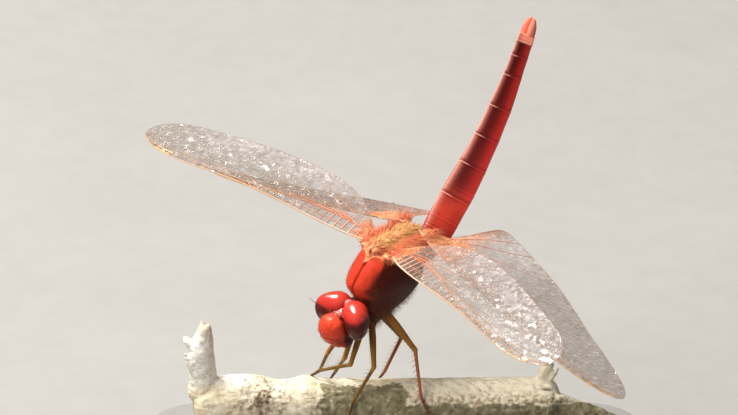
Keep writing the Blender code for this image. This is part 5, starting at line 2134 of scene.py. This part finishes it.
# ---- studio
@dataclass
class Studio:
    """A pale floor, soft lights and the camera.

    A lamp is its name, its way from the aim to the right, up and back, its size, power and light.
    """

    azimuth: float = 48.6
    height: float = 22.0
    away: float = 1.0
    width: float = 0.08817
    aim: Row = (-5.14, 0.39, 35.53)
    lamps: tuple[tuple, ...] = (
        ("key", (-0.33, 0.79, 0.14), 0.36, 12.0, (1.0, 0.96, 0.9)),
        ("front", (-0.45, 0.25, 0.6), 0.5, 4.0, (1.0, 0.96, 0.9)),
        ("side", (0.7, 0.2, 0.2), 0.5, 0.2, (0.92, 0.96, 1.0)))

    def build(self) -> None:
        """Builds the floor, the lights, the sky and the camera."""
        a, e = radians(self.azimuth), radians(self.height)
        back = Vector((cos(e) * sin(a), -cos(e) * cos(a), sin(e)))
        right = Vector((cos(a), sin(a), 0.0))
        axes, aim = (right, back.cross(right), back), Vector(self.aim) * MM
        self.floor()
        self.light(axes, aim)
        self.sky()
        self.camera(axes, aim)

    def floor(self) -> None:
        """The pale floor, which lights nothing."""
        bm = bmesh.new()
        bmesh.ops.create_grid(bm, x_segments=1, y_segments=1, size=6.0)
        floor = linked("floor", meshed("floor", bm))
        floor.data.materials.append(FLOOR.material())
        floor.visible_glossy = floor.visible_diffuse = False

    def sky(self) -> None:
        """The even light all round, and plain tones in the picture."""
        scene = bpy.context.scene
        scene.world = bpy.data.worlds.new("sky")
        scene.world.use_nodes = True
        sky = scene.world.node_tree.nodes["Background"]
        sky.inputs["Color"].default_value = (1.0, 0.97, 0.93, 1.0)
        sky.inputs["Strength"].default_value = 0.21
        scene.view_settings.view_transform = "Standard"
        scene.view_settings.look = "None"

    def light(self, axes: tuple[Vector, ...], aim: Vector) -> None:
        """The round soft lights, which face the insect.

        Args:
            axes: the camera's right, up and backward directions.
            aim: what they face.
        """
        for name, way, size, power, colour in self.lamps:
            data = bpy.data.lights.new(name, "AREA")
            data.shape, data.size, data.energy, data.color = "DISK", size, power, colour
            lamp = linked(name, data)
            right, up, back = (axis * reach for axis, reach in zip(axes, way))
            lamp.location = aim + (right + up + back)
            lamp.rotation_euler = (aim - lamp.location).to_track_quat("-Z", "Y").to_euler()
            lamp.visible_glossy = name != "front"

    def camera(self, axes: tuple[Vector, ...], aim: Vector) -> None:
        """The camera, far away with a long lens.

        Args:
            axes: its right, up and backward directions.
            aim: what it looks at.
        """
        data = bpy.data.cameras.new("camera")
        data.sensor_width, data.lens = 36.0, 36.0 * self.away / self.width
        data.clip_start, data.clip_end = 0.05, 30.0
        camera = linked("camera", data)
        turn = Matrix(axes).transposed().to_4x4()
        camera.matrix_world = Matrix.Translation(aim + axes[2] * self.away) @ turn
        bpy.context.scene.camera = camera


# ---- main
WINGS: tuple[tuple, ...] = (
    (Pair.FORE, Side.LEFT, (0.52, 2.03, 3.12), 15.4, 5.4, 7.0, 0.034),
    (Pair.FORE, Side.RIGHT, (0.52, -2.03, 3.12), 15.8, 4.9, -1.9, 0.034),
    (Pair.HIND, Side.LEFT, (-4.5, 2.35, 3.35), 4.5, -12.7, -10.6, -0.008),
    (Pair.HIND, Side.RIGHT, (-4.5, -2.35, 3.35), 7.6, -11.0, -24.4, -0.008))
LEGS: tuple[tuple, ...] = (
    ("fore_left", (5.0, 1.0, -5.5), (-5.32, -2.28, 5.84), (-8.91, 0.04, 4.12), (-9.95, 0.42, 3.3), 0.8),
    ("fore_right", (5.0, -1.0, -5.5), (-8.05, -0.45, 6.65), (-9.01, 1.16, 3.68), (-9.9, 2.12, 2.7), 0.8),
    ("mid_left", (3.7, 1.15, -5.4), (-2.51, -3.04, 5.83), (-5.02, -3.25, 1.37), (-5.54, -3.35, -0.55), 0.85),
    ("mid_right", (3.7, -1.15, -5.4), (-6.03, 0.58, 5.46), (-7.17, 2.42, 2.9), (-7.75, 3.47, 1.55), 0.85),
    ("hind_left", (1.7, 1.3, -4.9), (2.42, -1.82, 7.52), (3.11, -2.95, 1.95), (3.95, -3.38, 0.05), 0.95),
    ("hind_right", (1.7, -1.3, -4.9), (0.84, 2.47, 7.47), (-1.26, 2.25, 2.95), (-1.95, 3.4, 1.55), 0.95))


def main() -> None:
    """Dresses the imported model, piece by piece."""
    logging.basicConfig(level=logging.INFO, format="%(message)s")
    for part in (Studio(), Head(), Thorax(), Abdomen(), *(Wing(*facts) for facts in WINGS),
                 *(Leg(*facts) for facts in LEGS), Perch(), Stand()):
        part.build()


if __name__ == "__main__":
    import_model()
    main()
